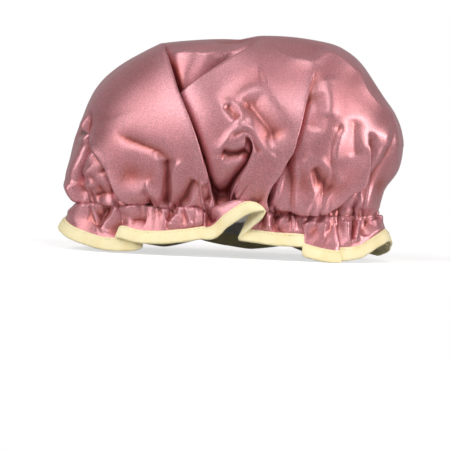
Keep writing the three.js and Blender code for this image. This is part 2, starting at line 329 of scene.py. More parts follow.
class View(Enum):
    """An elevation that folds are drawn in: its across axis, up axis, depth axis and side."""

    FRONT = (0, 2, 1, -1.0)
    BACK = (0, 2, 1, 1.0)
    LEFT = (1, 2, 0, -1.0)
    RIGHT = (1, 2, 0, 1.0)
    TOP = (0, 1, 2, 1.0)

    @property
    def axes(self) -> tuple[int, int]:
        """The two axes of the drawing plane."""
        return self.value[0], self.value[1]

    def facing(self, points: np.ndarray) -> np.ndarray:
        """Weigh points by whether they are on the side of the cap that this view shows.

        Args:
            points: Points in millimetres.

        Returns:
            Weights from 0 to 1.
        """
        depth = points[:, self.value[2]] * self.value[3]
        fade = TOP_FADE if self is View.TOP else SIDE_FADE
        return smoothstep(*fade, depth)


@dataclass(frozen=True)
class FoldLine:
    """A line drawn in an elevation, with distances to it.

    Attributes:
        view: Elevation that it is drawn in.
        points: Its points there, in millimetres.
        taper: Shares of its length over which its fold fades in and out.
    """

    view: View
    points: tuple[Pair, ...]
    taper: Pair

    def dense(self) -> np.ndarray:
        """Give the line as a dense curve."""
        return spline(np.array(self.points, dtype=float), 10)

    def measure(self, places: np.ndarray) -> tuple[np.ndarray, np.ndarray, np.ndarray]:
        """Measure places against the line.

        Args:
            places: Places in the line's elevation.

        Returns:
            Distances, positive on the right of the line's direction, the unit directions
            that they are measured in, and the fold's weights.
        """
        line = self.dense()
        along = lengths_along(line)
        nearest = np.full(len(places), np.inf)
        distance = np.zeros(len(places))
        share = np.zeros(len(places))
        across = np.zeros_like(places)
        past = np.zeros(len(places))
        for index, (start, end) in enumerate(zip(line[:-1], line[1:])):
            span = end - start
            length = np.linalg.norm(span)
            along_unit = span / length
            right_unit = np.array([along_unit[1], -along_unit[0]])
            offset = places - start
            free = offset @ along_unit
            held = np.clip(free, 0.0, length)
            gap = np.linalg.norm(offset - held[:, None] * along_unit, axis=1)
            closer = gap < nearest
            nearest[closer] = gap[closer]
            distance[closer] = (offset @ right_unit)[closer]
            share[closer] = ((along[index] + held) / along[-1])[closer]
            across[closer] = right_unit
            past[closer] = np.abs(free - held)[closer]
        weight = np.exp(-((past / END_FADE) ** 2))
        weight *= smoothstep(0.0, self.taper[0], share) * smoothstep(0.0, self.taper[1], 1.0 - share)
        return distance, across, weight


def tucked_weight(edge: FoldLine | None, points: np.ndarray) -> np.ndarray:
    """Keep a shape to the under side of another fold's edge.

    Args:
        edge: The fold's edge, or None where the shape is free.
        points: Points in millimetres.

    Returns:
        Weights from 0 to 1.
    """
    if edge is None:
        return np.ones(len(points))
    distance = edge.measure(points[:, edge.view.axes])[0]
    return smoothstep(0.0, TUCK_FADE, distance)


@dataclass
class FoldField:
    """Points to be folded, and how far each has moved so far.

    Attributes:
        points: Points of the plain surface.
        normals: Outward directions there.
        moves: Sum of the moves.
    """

    points: np.ndarray
    normals: np.ndarray
    moves: np.ndarray = field(init=False)

    def __post_init__(self) -> None:
        """Start with no moves."""
        self.moves = np.zeros_like(self.points)

    def fold(
        self,
        line: FoldLine,
        tucked: FoldLine | None,
        reach: float,
        section: Callable[[np.ndarray], tuple[np.ndarray, np.ndarray]],
    ) -> None:
        """Move the points beside a line.

        Args:
            line: Line of the fold.
            tucked: Edge of another fold that this one goes under.
            reach: How far from the line the fold acts.
            section: Turns distances from the line into moves along the normals and across it.
        """
        view = line.view
        flat = self.points[:, view.axes]
        drawn = line.dense()
        inside = np.all((flat > drawn.min(0) - reach) & (flat < drawn.max(0) + reach), axis=1)
        chosen = np.nonzero(inside & (view.facing(self.points) > 0))[0]
        places = self.points[chosen]
        normals = self.normals[chosen]
        distance, across, weight = line.measure(places[:, view.axes])
        weight = weight * view.facing(places) * tucked_weight(tucked, places)
        height, shift = section(distance)
        side = np.zeros_like(normals)
        side[:, view.axes] = across
        side -= np.sum(side * normals, axis=1, keepdims=True) * normals
        self.moves[chosen] += weight[:, None] * (height[:, None] * normals + shift[:, None] * side)


class Shaping(Protocol):
    """Something that moves the points of a fold field."""

    def apply(self, cloth: FoldField) -> None:
        """Add this shape's moves to the field."""


@dataclass(frozen=True)
class Overlap:
    """A fold whose one side lies over the other. The over side is on the left of its line.

    Attributes:
        line: Edge of the over side.
        lip: How far the over side stands proud at the edge.
        drop: How far the under side is tucked in at the edge.
        crevice: How much deeper it is right at the edge.
        over_reach: Distance over which the over side settles back.
        under_reach: Distance over which the under side comes out again.
        hang: How far the edge hangs over the under side.
        turn: Width of cloth that turns under at the edge.
        gap: Width of the crevice.
        tucked: Edge of another fold that this one goes under.
    """

    line: FoldLine
    lip: float = 3.0
    drop: float = 6.0
    crevice: float = 2.5
    over_reach: float = 16.0
    under_reach: float = 22.0
    hang: float = 2.0
    turn: float = 3.0
    gap: float = 2.2
    tucked: FoldLine | None = None

    def apply(self, cloth: FoldField) -> None:
        """Lift the over side, tuck the under side and let the edge hang."""
        reach = OVERLAP_SPAN * max(self.over_reach, self.under_reach)
        cloth.fold(self.line, self.tucked, reach, self.section)

    def section(self, distance: np.ndarray) -> tuple[np.ndarray, np.ndarray]:
        """Give the fold's section.

        Args:
            distance: Distances from the edge; positive is the under side.

        Returns:
            Moves along the normals and moves across the edge.
        """
        over = np.exp(np.minimum(distance, 0.0) / self.over_reach)
        past = np.maximum(distance - self.turn, 0.0)
        under = self.drop * np.exp(-past / self.under_reach) + self.crevice * np.exp(-past / self.gap)
        turned = smoothstep(0.0, self.turn, distance)
        height = self.lip * over * (1 - turned) - under * turned
        close = np.exp(-np.abs(distance - self.turn / 2) / HANG_FADE)
        return height, self.hang * close * (1 - 2 * turned)


@dataclass(frozen=True)
class Crease:
    """A ridge, or a valley where its height is negative.

    Attributes:
        line: Line of its crest.
        height: Height of the crest.
        width: Half width at which it has mostly faded.
        beyond: The same on the right of the line, where it differs.
        sharpness: Power of its profile; 2 is soft and 1 is sharp.
        tucked: Edge of another fold that this one goes under.
    """

    line: FoldLine
    height: float
    width: float
    beyond: float | None = None
    sharpness: float = 1.15
    tucked: FoldLine | None = None

    def apply(self, cloth: FoldField) -> None:
        """Raise or sink the cloth along the line."""
        reach = CREASE_SPAN * max(self.width, self.beyond or self.width)
        cloth.fold(self.line, self.tucked, reach, self.section)

    def section(self, distance: np.ndarray) -> tuple[np.ndarray, np.ndarray]:
        """Give the crease's section.

        Args:
            distance: Distances from the crest.

        Returns:
            Moves along the normals and moves across the crest, which are none.
        """
        width = np.where(distance > 0, self.beyond or self.width, self.width)
        height = self.height * np.exp(-np.abs(distance / width) ** self.sharpness)
        return height, np.zeros_like(height)


@dataclass(frozen=True)
class Pull:
    """A soft pull on the cloth round a place.

    Attributes:
        view: Elevation that the place is drawn in.
        at: Middle of the pulled place.
        radii: Its half sizes across and up.
        move: How far its middle moves.
        out: How far its middle also moves along the cloth's normal.
    """

    view: View
    at: Pair
    radii: Pair
    move: Triple = (0.0, 0.0, 0.0)
    out: float = 0.0

    def apply(self, cloth: FoldField) -> None:
        """Move the cloth round the place.

        Args:
            cloth: Field to move.
        """
        across, up = ((cloth.points[:, self.view.axes] - np.array(self.at)) / np.array(self.radii)).T
        weight = np.exp(-(across**2) - up**2) * self.view.facing(cloth.points)
        cloth.moves += weight[:, None] * (np.array(self.move) + self.out * cloth.normals)


def draw(view: View, *points: Pair, taper: Pair = (0.15, 0.15)) -> FoldLine:
    """Draw a line in an elevation."""
    return FoldLine(view, points, taper)


front = partial(draw, View.FRONT)
back = partial(draw, View.BACK)
left = partial(draw, View.LEFT)
right = partial(draw, View.RIGHT)
top = partial(draw, View.TOP)

LEFT_PANEL_EDGE = front(
    (-8, 32), (-10.2, 42), (-13.2, 49.5), (-17, 57.5), (-21.7, 70), (-26.6, 85.5), (-32.5, 100.7),
    (-38.2, 113.4), (-43.4, 125), (-48.8, 139.7), (-52.5, 149.5), (-54.6, 156), (-56, 161),
    taper=(0.04, 0.08),
)

FRONT_FOLDS: tuple[Shaping, ...] = (
    # Left panel over the middle one, from the gathers up to the pinch at the top.
    Overlap(LEFT_PANEL_EDGE, lip=2.6, drop=3.0, crevice=6.0, over_reach=30, under_reach=9, hang=2.4),
    # Middle panel over the pocket below the top.
    Overlap(
        front((21, 163.5), (13, 158.5), (5, 153), (-11.7, 141.7), (-26.2, 131.5), (-36, 125), (-44, 120),
              taper=(0.4, 0.04)),
        lip=3.0, drop=5.0, crevice=17.0, over_reach=10, under_reach=11, gap=8.5, tucked=LEFT_PANEL_EDGE,
    ),
    Crease(
        front((-55, 157), (-46.7, 153), (-39.8, 152.2), (-23.7, 153.4), (-12.4, 156.7), (-1, 159.5),
              (18, 163), taper=(0.03, 0.2)),
        5.0, 2.6, 3.6, sharpness=1.0, tucked=LEFT_PANEL_EDGE,
    ),
    # Middle panel over the right one.
    Overlap(
        front((22, 34), (24.5, 41.8), (25.3, 49.3), (29.4, 58.3), (35.8, 64.6), (41.3, 74.5), (45.3, 85.8),
              (48.5, 98), (51.5, 111), (55, 126), (58, 140), (62, 151), taper=(0.03, 0.45)),
        lip=2.0, drop=4.0, crevice=6.0, over_reach=16, under_reach=14, hang=2.4,
    ),
    # Small rolls at the foot of that edge.
    Crease(front((26, 36), (27, 45.6), (28.9, 53), (33.9, 58.5), (38, 57), (37, 48), (42, 39)), 2.2, 2.6),
    Crease(front((31.5, 55), (32, 48), (33.5, 40)), -3.6, 2.4),
    Crease(front((46, 82), (44.5, 74), (45.5, 64.5), (46.8, 52.3), (47, 44)), -3.6, 3.0),
    Crease(front((49.5, 74), (50.1, 64.7), (49.9, 52.5), (52, 44)), 1.6, 3.0),
    # Pouch of the right panel over the right end and the gathers.
    Overlap(
        front((40, 37), (50, 35.5), (61.3, 36.5), (77.8, 44.5), (88.1, 54.1), (98.5, 61.5), (102.3, 73.1),
              (102.5, 85.4), (103, 92), (105.2, 99.3), taper=(0.2, 0.15)),
        lip=2.4, drop=5.0, crevice=5.0, over_reach=10, under_reach=12, hang=1.8,
    ),
    Crease(
        front((114.8, 107.3), (116.9, 95.2), (111.5, 79.6), (101.5, 62.4), (88.3, 48), (85.8, 37.2)),
        2.6, 5.0, 6.0, sharpness=1.6,
    ),
    Crease(front((118.5, 106), (120, 96), (117, 80), (108, 62), (98, 48)), -2.4, 3.0),
    Crease(front((105.6, 99), (105.2, 94.5), (102.7, 86.9)), -2.4, 1.8),
    # Left panel over the left end and over the gathers below it.
    Overlap(
        front((-115, 96), (-113.4, 90.8), (-110.5, 86.7), (-103.8, 76.6), (-96.4, 67.2), (-87.6, 54.4),
              (-80.1, 43.5), (-74.4, 40), (-67.4, 38.6), (-59.1, 39.4), (-52.2, 40.5), taper=(0.12, 0.12)),
        lip=2.6, drop=4.0, crevice=4.0, over_reach=14, under_reach=12, hang=1.8,
    ),
    Pull(View.FRONT, (-116, 87), (9, 5), move=(4.0, 0, 0)),
    Crease(front((-115.5, 84), (-117.3, 71), (-117.8, 64), (-119.2, 55.8), (-121.3, 47)), -10.1, 3.0),
    Crease(front((-104, 79), (-109, 70), (-114, 61.6), (-116, 55)), 3.7, 4.0),
    Crease(front((-95.5, 62), (-93.9, 56.9), (-89.4, 50.2), (-86.4, 43.4), (-86, 34)), 4.0, 3.4),
    Crease(front((-101, 63), (-95, 54.5), (-91, 46), (-90, 36)), -4.7, 3.2),
    Crease(front((-110, 58), (-104, 51), (-98, 42), (-96, 36)), -4.0, 3.6),
    Crease(front((-112, 62), (-108, 56), (-104, 44)), 2.5, 3.6),
    # Wrinkles of the left panel.
    Crease(
        front((-90, 93), (-80.8, 86.1), (-67, 81.3), (-56, 77.7), (-47.5, 73), (-38, 71.5), taper=(0.3, 0.2)),
        -3.0, 6.0, 2.4,
    ),
    Pull(View.FRONT, (-74, 60), (9, 12), out=-2.4),
    Pull(View.FRONT, (-78, 112), (36, 40), out=-4.6),
    Crease(front((-57, 78), (-52, 66), (-50, 54), (-50.5, 42), taper=(0.3, 0.1)), 1.6, 3.0, 6.0),
    Crease(front((-48, 73), (-45.8, 62), (-44.8, 52), (-43.5, 38), taper=(0.1, 0.05)), -4.6, 2.2, 5.0),
    Crease(
        front((-29, 70), (-36, 70.6), (-41, 68), (-42.3, 62), (-41.6, 52), (-40.4, 36), taper=(0.25, 0.05)),
        3.2, 6.0, 2.2,
    ),
    Crease(front((-63, 57), (-59.5, 52), (-54.6, 46.5), (-52.5, 36)), 3.0, 2.6),
    Crease(front((-66, 52), (-61, 46), (-57.5, 40), (-56, 35)), -3.6, 3.0),
    Crease(front((-21, 60), (-26.2, 49.2), (-30, 42), (-31.5, 34)), 3.2, 2.8),
    Crease(front((-27, 60), (-32, 50), (-35, 42), (-36, 34)), -3.6, 3.0),
    Crease(front((-15.5, 50), (-20, 44), (-25, 37)), 2.4, 2.4),
    # Tongue of the middle panel between two dark tucks.
    Crease(front((-17.5, 58), (-14.6, 50), (-12, 40)), -3.2, 2.6),
    Overlap(
        front((4.5, 90.8), (11.3, 93.7), (15.8, 89.5), (17.6, 82.7), (14, 72.2), (7.5, 61.5), (2.7, 52.6),
              (0, 45), (-1, 38), taper=(0.3, 0.05)),
        lip=2.2, drop=4.5, crevice=5.0, over_reach=7, under_reach=8, hang=1.8,
    ),
    Crease(front((6, 60), (3.4, 51), (0.5, 43)), -2.0, 2.6),
    Pull(View.FRONT, (-8, 47), (7, 9), out=-3.5),
    Overlap(
        front((2, 50), (6.3, 47.7), (15.2, 44), (24.1, 39.8), (28, 37)),
        lip=2.2, drop=2.5, crevice=2.0, over_reach=10, under_reach=6, hang=1.6,
    ),
    # Crumple of the middle panel.
    Crease(
        front((-10.5, 77), (-8.9, 81.5), (-4, 88.7), (2.6, 95.9), (11.1, 98.9), (16.4, 96.5), (20.1, 91.5),
              (25.6, 83.1), (32.8, 77.3), (41, 79), taper=(0.08, 0.2)),
        3.0, 3.0, 2.4,
    ),
    Crease(
        front((-2, 90), (4, 94.5), (10.5, 96.6), (15, 93.5), (19.5, 86), (23, 78)), -2.4, 2.0, sharpness=1.5,
    ),
    Crease(front((-7.5, 79.5), (-0.1, 78.5), (6, 79.4), (12, 82)), -5.5, 3.0, 3.6, sharpness=1.5),
    Crease(front((-9, 79), (-7, 75.5), (-3.2, 70.8), (3.6, 71.5), (10.4, 75.5)), 2.2, 2.2, 4.0),
    # The soft hollow above it, with a smaller one beside it.
    Crease(
        front((8, 127), (12, 120), (18, 112.5), (25, 104), (31, 95), (36, 85), taper=(0.25, 0.25)),
        -5.2, 9.5, 8.5, sharpness=2.0,
    ),
    Crease(front((7, 124), (7.5, 117), (12, 109), (19, 101), (25, 92), taper=(0.2, 0.4)), 0.7, 3.0),
    Crease(front((-7, 112), (0, 122), (10, 132), (24, 138)), -1.4, 7.0, sharpness=2.0),
    Crease(front((-5, 116), (-1, 111), (4.5, 105)), -2.6, 3.0, 3.4, sharpness=1.8),
    Crease(front((-6, 117.5), (1, 117), (7, 110), (6, 104), (1, 103)), 1.2, 1.8),
    # Right panel.
    Crease(front((69.3, 140), (72, 123.8), (71.8, 108)), 1.4, 7.0, sharpness=2.0),
    Crease(front((60, 128), (63.5, 114), (61, 98)), -1.6, 6.0, sharpness=2.0),
    Crease(front((82.8, 105.9), (76.7, 87.3), (75.8, 72), (80.2, 60)), -1.8, 1.6, 4.0),
    Crease(front((81, 101), (79, 87.4), (78.6, 75)), 1.2, 3.6, sharpness=1.6),
    Crease(front((91.8, 110), (91.8, 92), (93.1, 79)), -1.8, 6.0, sharpness=1.6),
    Crease(front((54, 80), (60, 78), (69, 74.5), (86, 60)), 1.6, 3.6, 5.0, sharpness=1.5),
    Crease(front((56, 78), (59, 66), (66, 52)), 1.6, 4.0, sharpness=1.5),
    Crease(front((62, 72), (68, 62), (76, 54)), -2.0, 5.0, sharpness=1.8),
    # Crest along which the front turns over to the top and the right end.
    Crease(
        front((24, 161), (39.5, 151.5), (50.7, 149.3), (59.6, 149.4), (65.3, 154), (71.2, 155.5), (78, 152.7),
              (86.5, 146.3), (93.4, 142.2), (96.7, 134.2), (100.7, 127.7), (108.5, 119.8), (116.2, 113.5),
              (119.5, 107.5), (123.1, 92.4), (124, 74.1), (117, 58.4), (111, 49)),
        2.6, 4.0,
    ),
    # Pouches of the right panel and the right end hang over the gathers.
    Pull(View.FRONT, (57, 47), (23, 10), move=(0, -9, -9.5)),
    Pull(View.FRONT, (104, 50), (11, 9), move=(2, -5, -5)),
    Pull(View.FRONT, (-66, 48), (16, 8), move=(0, -5, -4)),
)

RUFFLE_FOLDS: tuple[Shaping, ...] = (
    Crease(front((-122, 24), (-112.8, 28.5), (-106, 31.5), (-91, 35)), 4.3, 3.6),
    Crease(front((-90, 36), (-91, 31), (-93.2, 24.3), (-96, 17)), -6.5, 3.6),
    Crease(front((-86, 36), (-87.4, 26.7), (-91.6, 20.3), (-95.5, 16)), 5.1, 3.0),
    Crease(front((-77, 29), (-70, 33), (-60, 36), (-52, 37)), 4.7, 4.0),
    Crease(front((-74, 25.5), (-68, 27), (-61, 26)), -3.2, 2.6),
    Crease(front((-38.5, 38), (-36, 31.8), (-38.4, 27), (-44, 20)), 4.7, 3.0),
    Crease(front((-42, 37), (-40.5, 31), (-44, 25)), -4.3, 2.6),
    Crease(front((-32, 37), (-30.4, 28.7), (-28.5, 20)), 4.1, 3.2),
    Crease(front((-26, 37), (-24.4, 29), (-20, 24)), 4.1, 3.0),
    Crease(front((-17, 38), (-13.2, 33), (-8, 27)), -4.7, 2.6),
    Crease(front((30, 36), (32, 28), (31, 20)), 4.1, 3.2),
    Crease(front((40, 36), (39, 28), (41, 20)), -4.1, 3.0),
    Crease(front((48, 34), (47, 27), (49, 18)), 3.6, 3.2),
    Crease(front((56, 25), (65, 27.5), (72, 27), (78, 25)), 4.1, 3.2),
    Crease(front((85, 32), (86.5, 24), (88.5, 16), (87, 9)), 5.1, 3.2),
    Crease(front((91, 33), (92, 25), (93, 16)), -4.7, 3.0),
    Crease(front((99, 32), (96, 23), (94, 15)), 4.3, 3.2),
    Crease(front((105, 34), (106, 28), (104, 20)), -3.6, 3.2),
    Crease(front((110, 34), (112, 27), (112, 18)), 3.6, 3.2),
    Pull(View.FRONT, (-83, 20), (7, 8), out=-4.0),
)

OTHER_FOLDS: tuple[Shaping, ...] = (
    # Back.
    Overlap(
        back((-62, 32), (-58, 50), (-50, 75), (-40, 105), (-34, 132), (-30, 150), taper=(0.05, 0.25)),
        lip=3.0, drop=6.0, over_reach=18, under_reach=24, turn=8.0, gap=5.0,
    ),
    Overlap(
        back((30, 152), (22, 132), (14, 105), (6, 75), (2, 50), (0, 32), taper=(0.25, 0.05)),
        lip=3.0, drop=6.0, over_reach=20, under_reach=22, turn=8.0, gap=5.0,
    ),
    Overlap(
        back((58, 32), (62, 50), (66, 78), (62, 105), (56, 128), taper=(0.05, 0.3)),
        lip=3.5, drop=7.0, over_reach=16, under_reach=18, turn=8.0, gap=5.0,
    ),
    Overlap(
        back((-84, 112), (-92, 88), (-92, 66), (-86, 48), (-80, 32), taper=(0.3, 0.05)),
        lip=3.0, drop=7.0, over_reach=14, under_reach=16, turn=8.0, gap=5.0,
    ),
    Crease(back((34, 40), (36, 62), (30, 88), (34, 110)), 3.2, 6.0),
    Crease(back((-26, 40), (-22, 64), (-16, 90)), 3.0, 6.0),
    Crease(back((88, 40), (94, 62), (90, 90)), 3.0, 6.0),
    Crease(back((-66, 118), (-52, 112), (-34, 118), (-16, 112)), -3.0, 7.0),
    Pull(View.BACK, (-30, 44), (24, 9), move=(0, 3.5, -3)),
    Pull(View.BACK, (66, 44), (20, 9), move=(0, 3, -3)),
    # Left end.
    Overlap(
        left((14, 32), (16, 48), (14, 70), (8, 96), (6, 118), taper=(0.05, 0.3)),
        lip=3.0, drop=6.0, over_reach=12, under_reach=16, turn=6.0, gap=4.0,
    ),
    Overlap(
        left((-22, 110), (-18, 88), (-20, 66), (-16, 48), (-14, 32), taper=(0.3, 0.05)),
        lip=2.5, drop=5.0, over_reach=10, under_reach=12, turn=6.0, gap=4.0,
    ),
    Crease(left((38, 40), (42, 64), (38, 90)), 3.0, 6.0),
    # Right end.
    Overlap(
        right((-6, 32), (-8, 50), (-4, 76), (2, 102), (4, 126), taper=(0.05, 0.3)),
        lip=3.0, drop=6.0, over_reach=14, under_reach=16, turn=6.0, gap=4.0,
    ),
    Overlap(
        right((34, 118), (30, 94), (30, 70), (26, 50), (24, 32), taper=(0.3, 0.05)),
        lip=3.0, drop=6.0, over_reach=12, under_reach=14, turn=6.0, gap=4.0,
    ),
    # Top.
    Crease(top((-48, 8), (-48, 22), (-54, 38), taper=(0.4, 0.3)), -2.4, 7.0),
    Crease(top((16, 8), (11, 24), (13, 42), taper=(0.4, 0.3)), -2.0, 7.0),
    Crease(top((60, 6), (64, 18), (60, 36), taper=(0.4, 0.3)), -2.0, 7.0),
)


# Gathers


@dataclass(frozen=True)
class GatherSet:
    """Uneven gathers round the mouth, each a rounded ridge between two sharp valleys.

    Attributes:
        count: Number of gathers.
        height: Height of a usual ridge at the stitching.
        reach_up: Usual distance over which a gather fades into the crown.
        reach_down: Usual distance over which it fades into the ruffle.
        swell: Distance from the stitching at which the gathers are fullest.
        seed: Seed of their unevenness.
        roundness: How far the ridges swell towards the valleys; 1 closes the valleys.
        spacings: Least and most spacing, as shares of the usual one.
        heights: Least and most height, in the same way.
        ups: Least and most reach into the crown.
        downs: Least and most reach into the ruffle.
        skews: Least and most power that skews a ridge.
        sway: Share of a turn that a gather sways aside in a millimetre.
    """

    count: int
    height: float
    reach_up: float
    reach_down: float
    swell: float
    seed: int
    roundness: float = 0.85
    spacings: Pair = (0.35, 1.9)
    heights: Pair = (0.3, 1.45)
    ups: Pair = (0.35, 2.0)
    downs: Pair = (0.35, 1.9)
    skews: Pair = (0.65, 1.5)
    sway: float = 0.0006

    def relief(self, turn: np.ndarray, distance: np.ndarray) -> tuple[np.ndarray, np.ndarray]:
        """Give the gathers' relief.

        Args:
            turn: Shares of a full turn along the stitching, by row and column.
            distance: Distances from the stitching; positive is up.

        Returns:
            Moves along the outward directions, and moves along the stitching as shares of a
            turn, which round the ridges and close the valleys.
        """
        chance = np.random.default_rng(self.seed)
        spacing = chance.uniform(*self.spacings, self.count)
        edges = np.concatenate([[0.0], np.cumsum(spacing)]) / spacing.sum()
        middles = (edges[:-1] + edges[1:]) / 2
        heights = self.height * chance.uniform(*self.heights, self.count) * np.sqrt(spacing)
        ups = self.reach_up * chance.uniform(*self.ups, self.count)
        downs = self.reach_down * chance.uniform(*self.downs, self.count)
        sways = self.sway * chance.uniform(-1.0, 1.0, self.count)
        skews = chance.uniform(*self.skews, self.count)

        def at(values: np.ndarray, place: np.ndarray) -> np.ndarray:
            """Blend one value per gather along the turn."""
            return np.interp(place, middles, values, period=1.0)

        away = np.abs(distance)
        place = np.mod(turn + at(sways, turn) * away, 1.0)
        index = np.clip(np.searchsorted(edges, place, side="right") - 1, 0, self.count - 1)
        width = edges[index + 1] - edges[index]
        across = np.clip((place - edges[index]) / width, 0.0, 1.0) ** skews[index]
        reach = np.where(distance > 0, at(ups, place), at(downs, place))
        fade = np.exp(-((away / reach) ** 1.5))
        power = 0.6 + 1.4 * smoothstep(0.3, 1.3, away / reach)
        ridge = np.sin(np.pi * across) ** power - 0.5
        full = 0.5 + 0.5 * smoothstep(0.0, self.swell, away)
        shift = -self.roundness * width * np.sin(2 * np.pi * across) / (2 * np.pi)
        return at(heights, place) * ridge * full * fade, shift * full * fade


@dataclass(frozen=True)
class SmoothPlace:
    """A pouch in front where the gathers fade early.

    Attributes:
        at: Its middle, across and up.
        radii: Its half sizes.
        most: Share of the gathers that is gone in its middle.
    """

    at: Pair
    radii: Pair
    most: float = 0.85

    def share(self, points: np.ndarray) -> np.ndarray:
        """Tell how much of the gathers is gone.

        Args:
            points: Points by row and column.

        Returns:
            A share for each point.
        """
        across = (points[..., 0] - self.at[0]) / self.radii[0]
        up = (points[..., 2] - self.at[1]) / self.radii[1]
        return self.most * np.exp(-(across**2) - up**2) * (points[..., 1] < 0)


SMOOTH_PLACES = (SmoothPlace((59, 47), (27, 11)), SmoothPlace((-71, 49), (18, 9)))

GATHERS = (
    GatherSet(count=104, height=3.6, reach_up=7.0, reach_down=6.0, swell=2.0, seed=11),
    GatherSet(count=43, height=4.8, reach_up=15.0, reach_down=9.0, swell=5.0, seed=5),
    GatherSet(count=19, height=2.4, reach_up=22.0, reach_down=14.0, swell=9.0, seed=23),
)


# The ruffle


@dataclass(frozen=True)
class HemKnot:
    """A point that the hem passes through.

    Attributes:
        gather: Angle in degrees of the gathers that it hangs from.
        plan: Angle in degrees of its own place round the mouth's plan.
        out: Distance outside the mouth.
        height: Height of the binding's lower edge.
        lift: How far the ruffle rises on its way out.
    """

    gather: float
    plan: float
    out: float
    height: float
    lift: float = 0.0


FRONT_HEM = tuple(
    HemKnot(*knot)
    for knot in (
        (186, 182.0, 17, 15.5), (196, 196.0, 15, 9.5), (206, 208.6, 10.5, 5), (214, 221.0, 10, 2.4),
        (220.5, 232.0, 8, 2.6), (223.5, 237.0, 7.5, 4), (225.2, 238.8, 4.5, 6), (227, 236.0, 2.5, 7),
        (229.5, 229.0, 2.5, 9), (231.2, 226.0, 7, 11), (232.6, 226.2, 9, 12), (234.2, 229.0, 11, 12),
        (237, 234.7, 12, 10), (244, 244.7, 12, 9.3), (252, 253.4, 11, 10.9), (260, 261.5, 11, 14.2),
        (265.0, 268.2, 13, 18.8, 3), (266.4, 270.6, 15.5, 26, 12), (267.8, 275.0, 17, 34, 18),
        (269.4, 279.2, 17.5, 37.3, 15), (271.2, 281.4, 16, 37, 8), (273.2, 280.2, 14, 31, 4),
        (275.4, 277.8, 11.5, 25.5, 1), (278, 274.1, 9.5, 17), (279.4, 273.5, 9, 14.8),
        (281, 275.6, 8.5, 14), (283, 279.0, 9, 13.3), (289, 287.4, 9, 11.7), (294, 295.3, 8, 11.5),
        (296.5, 300.4, 6.5, 11), (298, 301.9, 4, 10.5), (299.6, 299.8, 5.5, 8), (301, 297.2, 8.5, 5.5),
        (302.6, 297.8, 11, 4.4), (306.4, 306.2, 12, 1.2), (309.6, 313.4, 12.5, 0),
        (311.4, 315.0, 10.5, 0.6), (313, 313.2, 7, 1.6), (314.6, 311.2, 5.5, 2.6),
        (316.6, 311.8, 7.5, 2.6), (319.4, 315.8, 10, 2.2), (326, 325.5, 11, 4), (335, 333.0, 11, 8.2),
        (345, 341.5, 11, 13), (353, 351.0, 13, 17),
    )
)

# Steps of a folded tuck: angle from its middle, share of its overlap, distance out and rise.
TUCK_STEPS = (
    (-3.6, 0.35, 10, -2.5), (-1.6, 0.5, 6, 0), (0, 0, 4, 1), (1.6, -0.5, 8, 0), (3.6, -0.2, 13, -2.5),
)


def tucked_hem(tucks: tuple[Triple, ...], lows: tuple[float, ...]) -> tuple[HemKnot, ...]:
    """Run the hem through plain scallops with a folded tuck between neighbours.

    Args:
        tucks: Angle in degrees, height and overlap in degrees of each tuck.
        lows: Lowest height of the scallop after each tuck but the last.

    Returns:
        The hem's knots, in order.
    """
    knots: list[HemKnot] = []
    for index, (at, rise, lap) in enumerate(tucks):
        for step, share, out, climb in TUCK_STEPS:
            knots.append(HemKnot(at + step, at + share * lap, out, rise + climb))
        if index < len(lows):
            end = tucks[index + 1][0]
            for share in (0.36, 0.64):
                place = at + share * (end - at)
                knots.append(HemKnot(place, place, 15, lows[index]))
    return tuple(knots)


BACK_HEM = tucked_hem(
    ((8, 14, 6), (38, 11, 7), (68, 12, 7), (98, 13, 6), (127, 10, 7), (154, 13, 6), (174, 16, 4)),
    (4.5, 0.3, 4.0, 3.0, 0.3, 8.0),
)


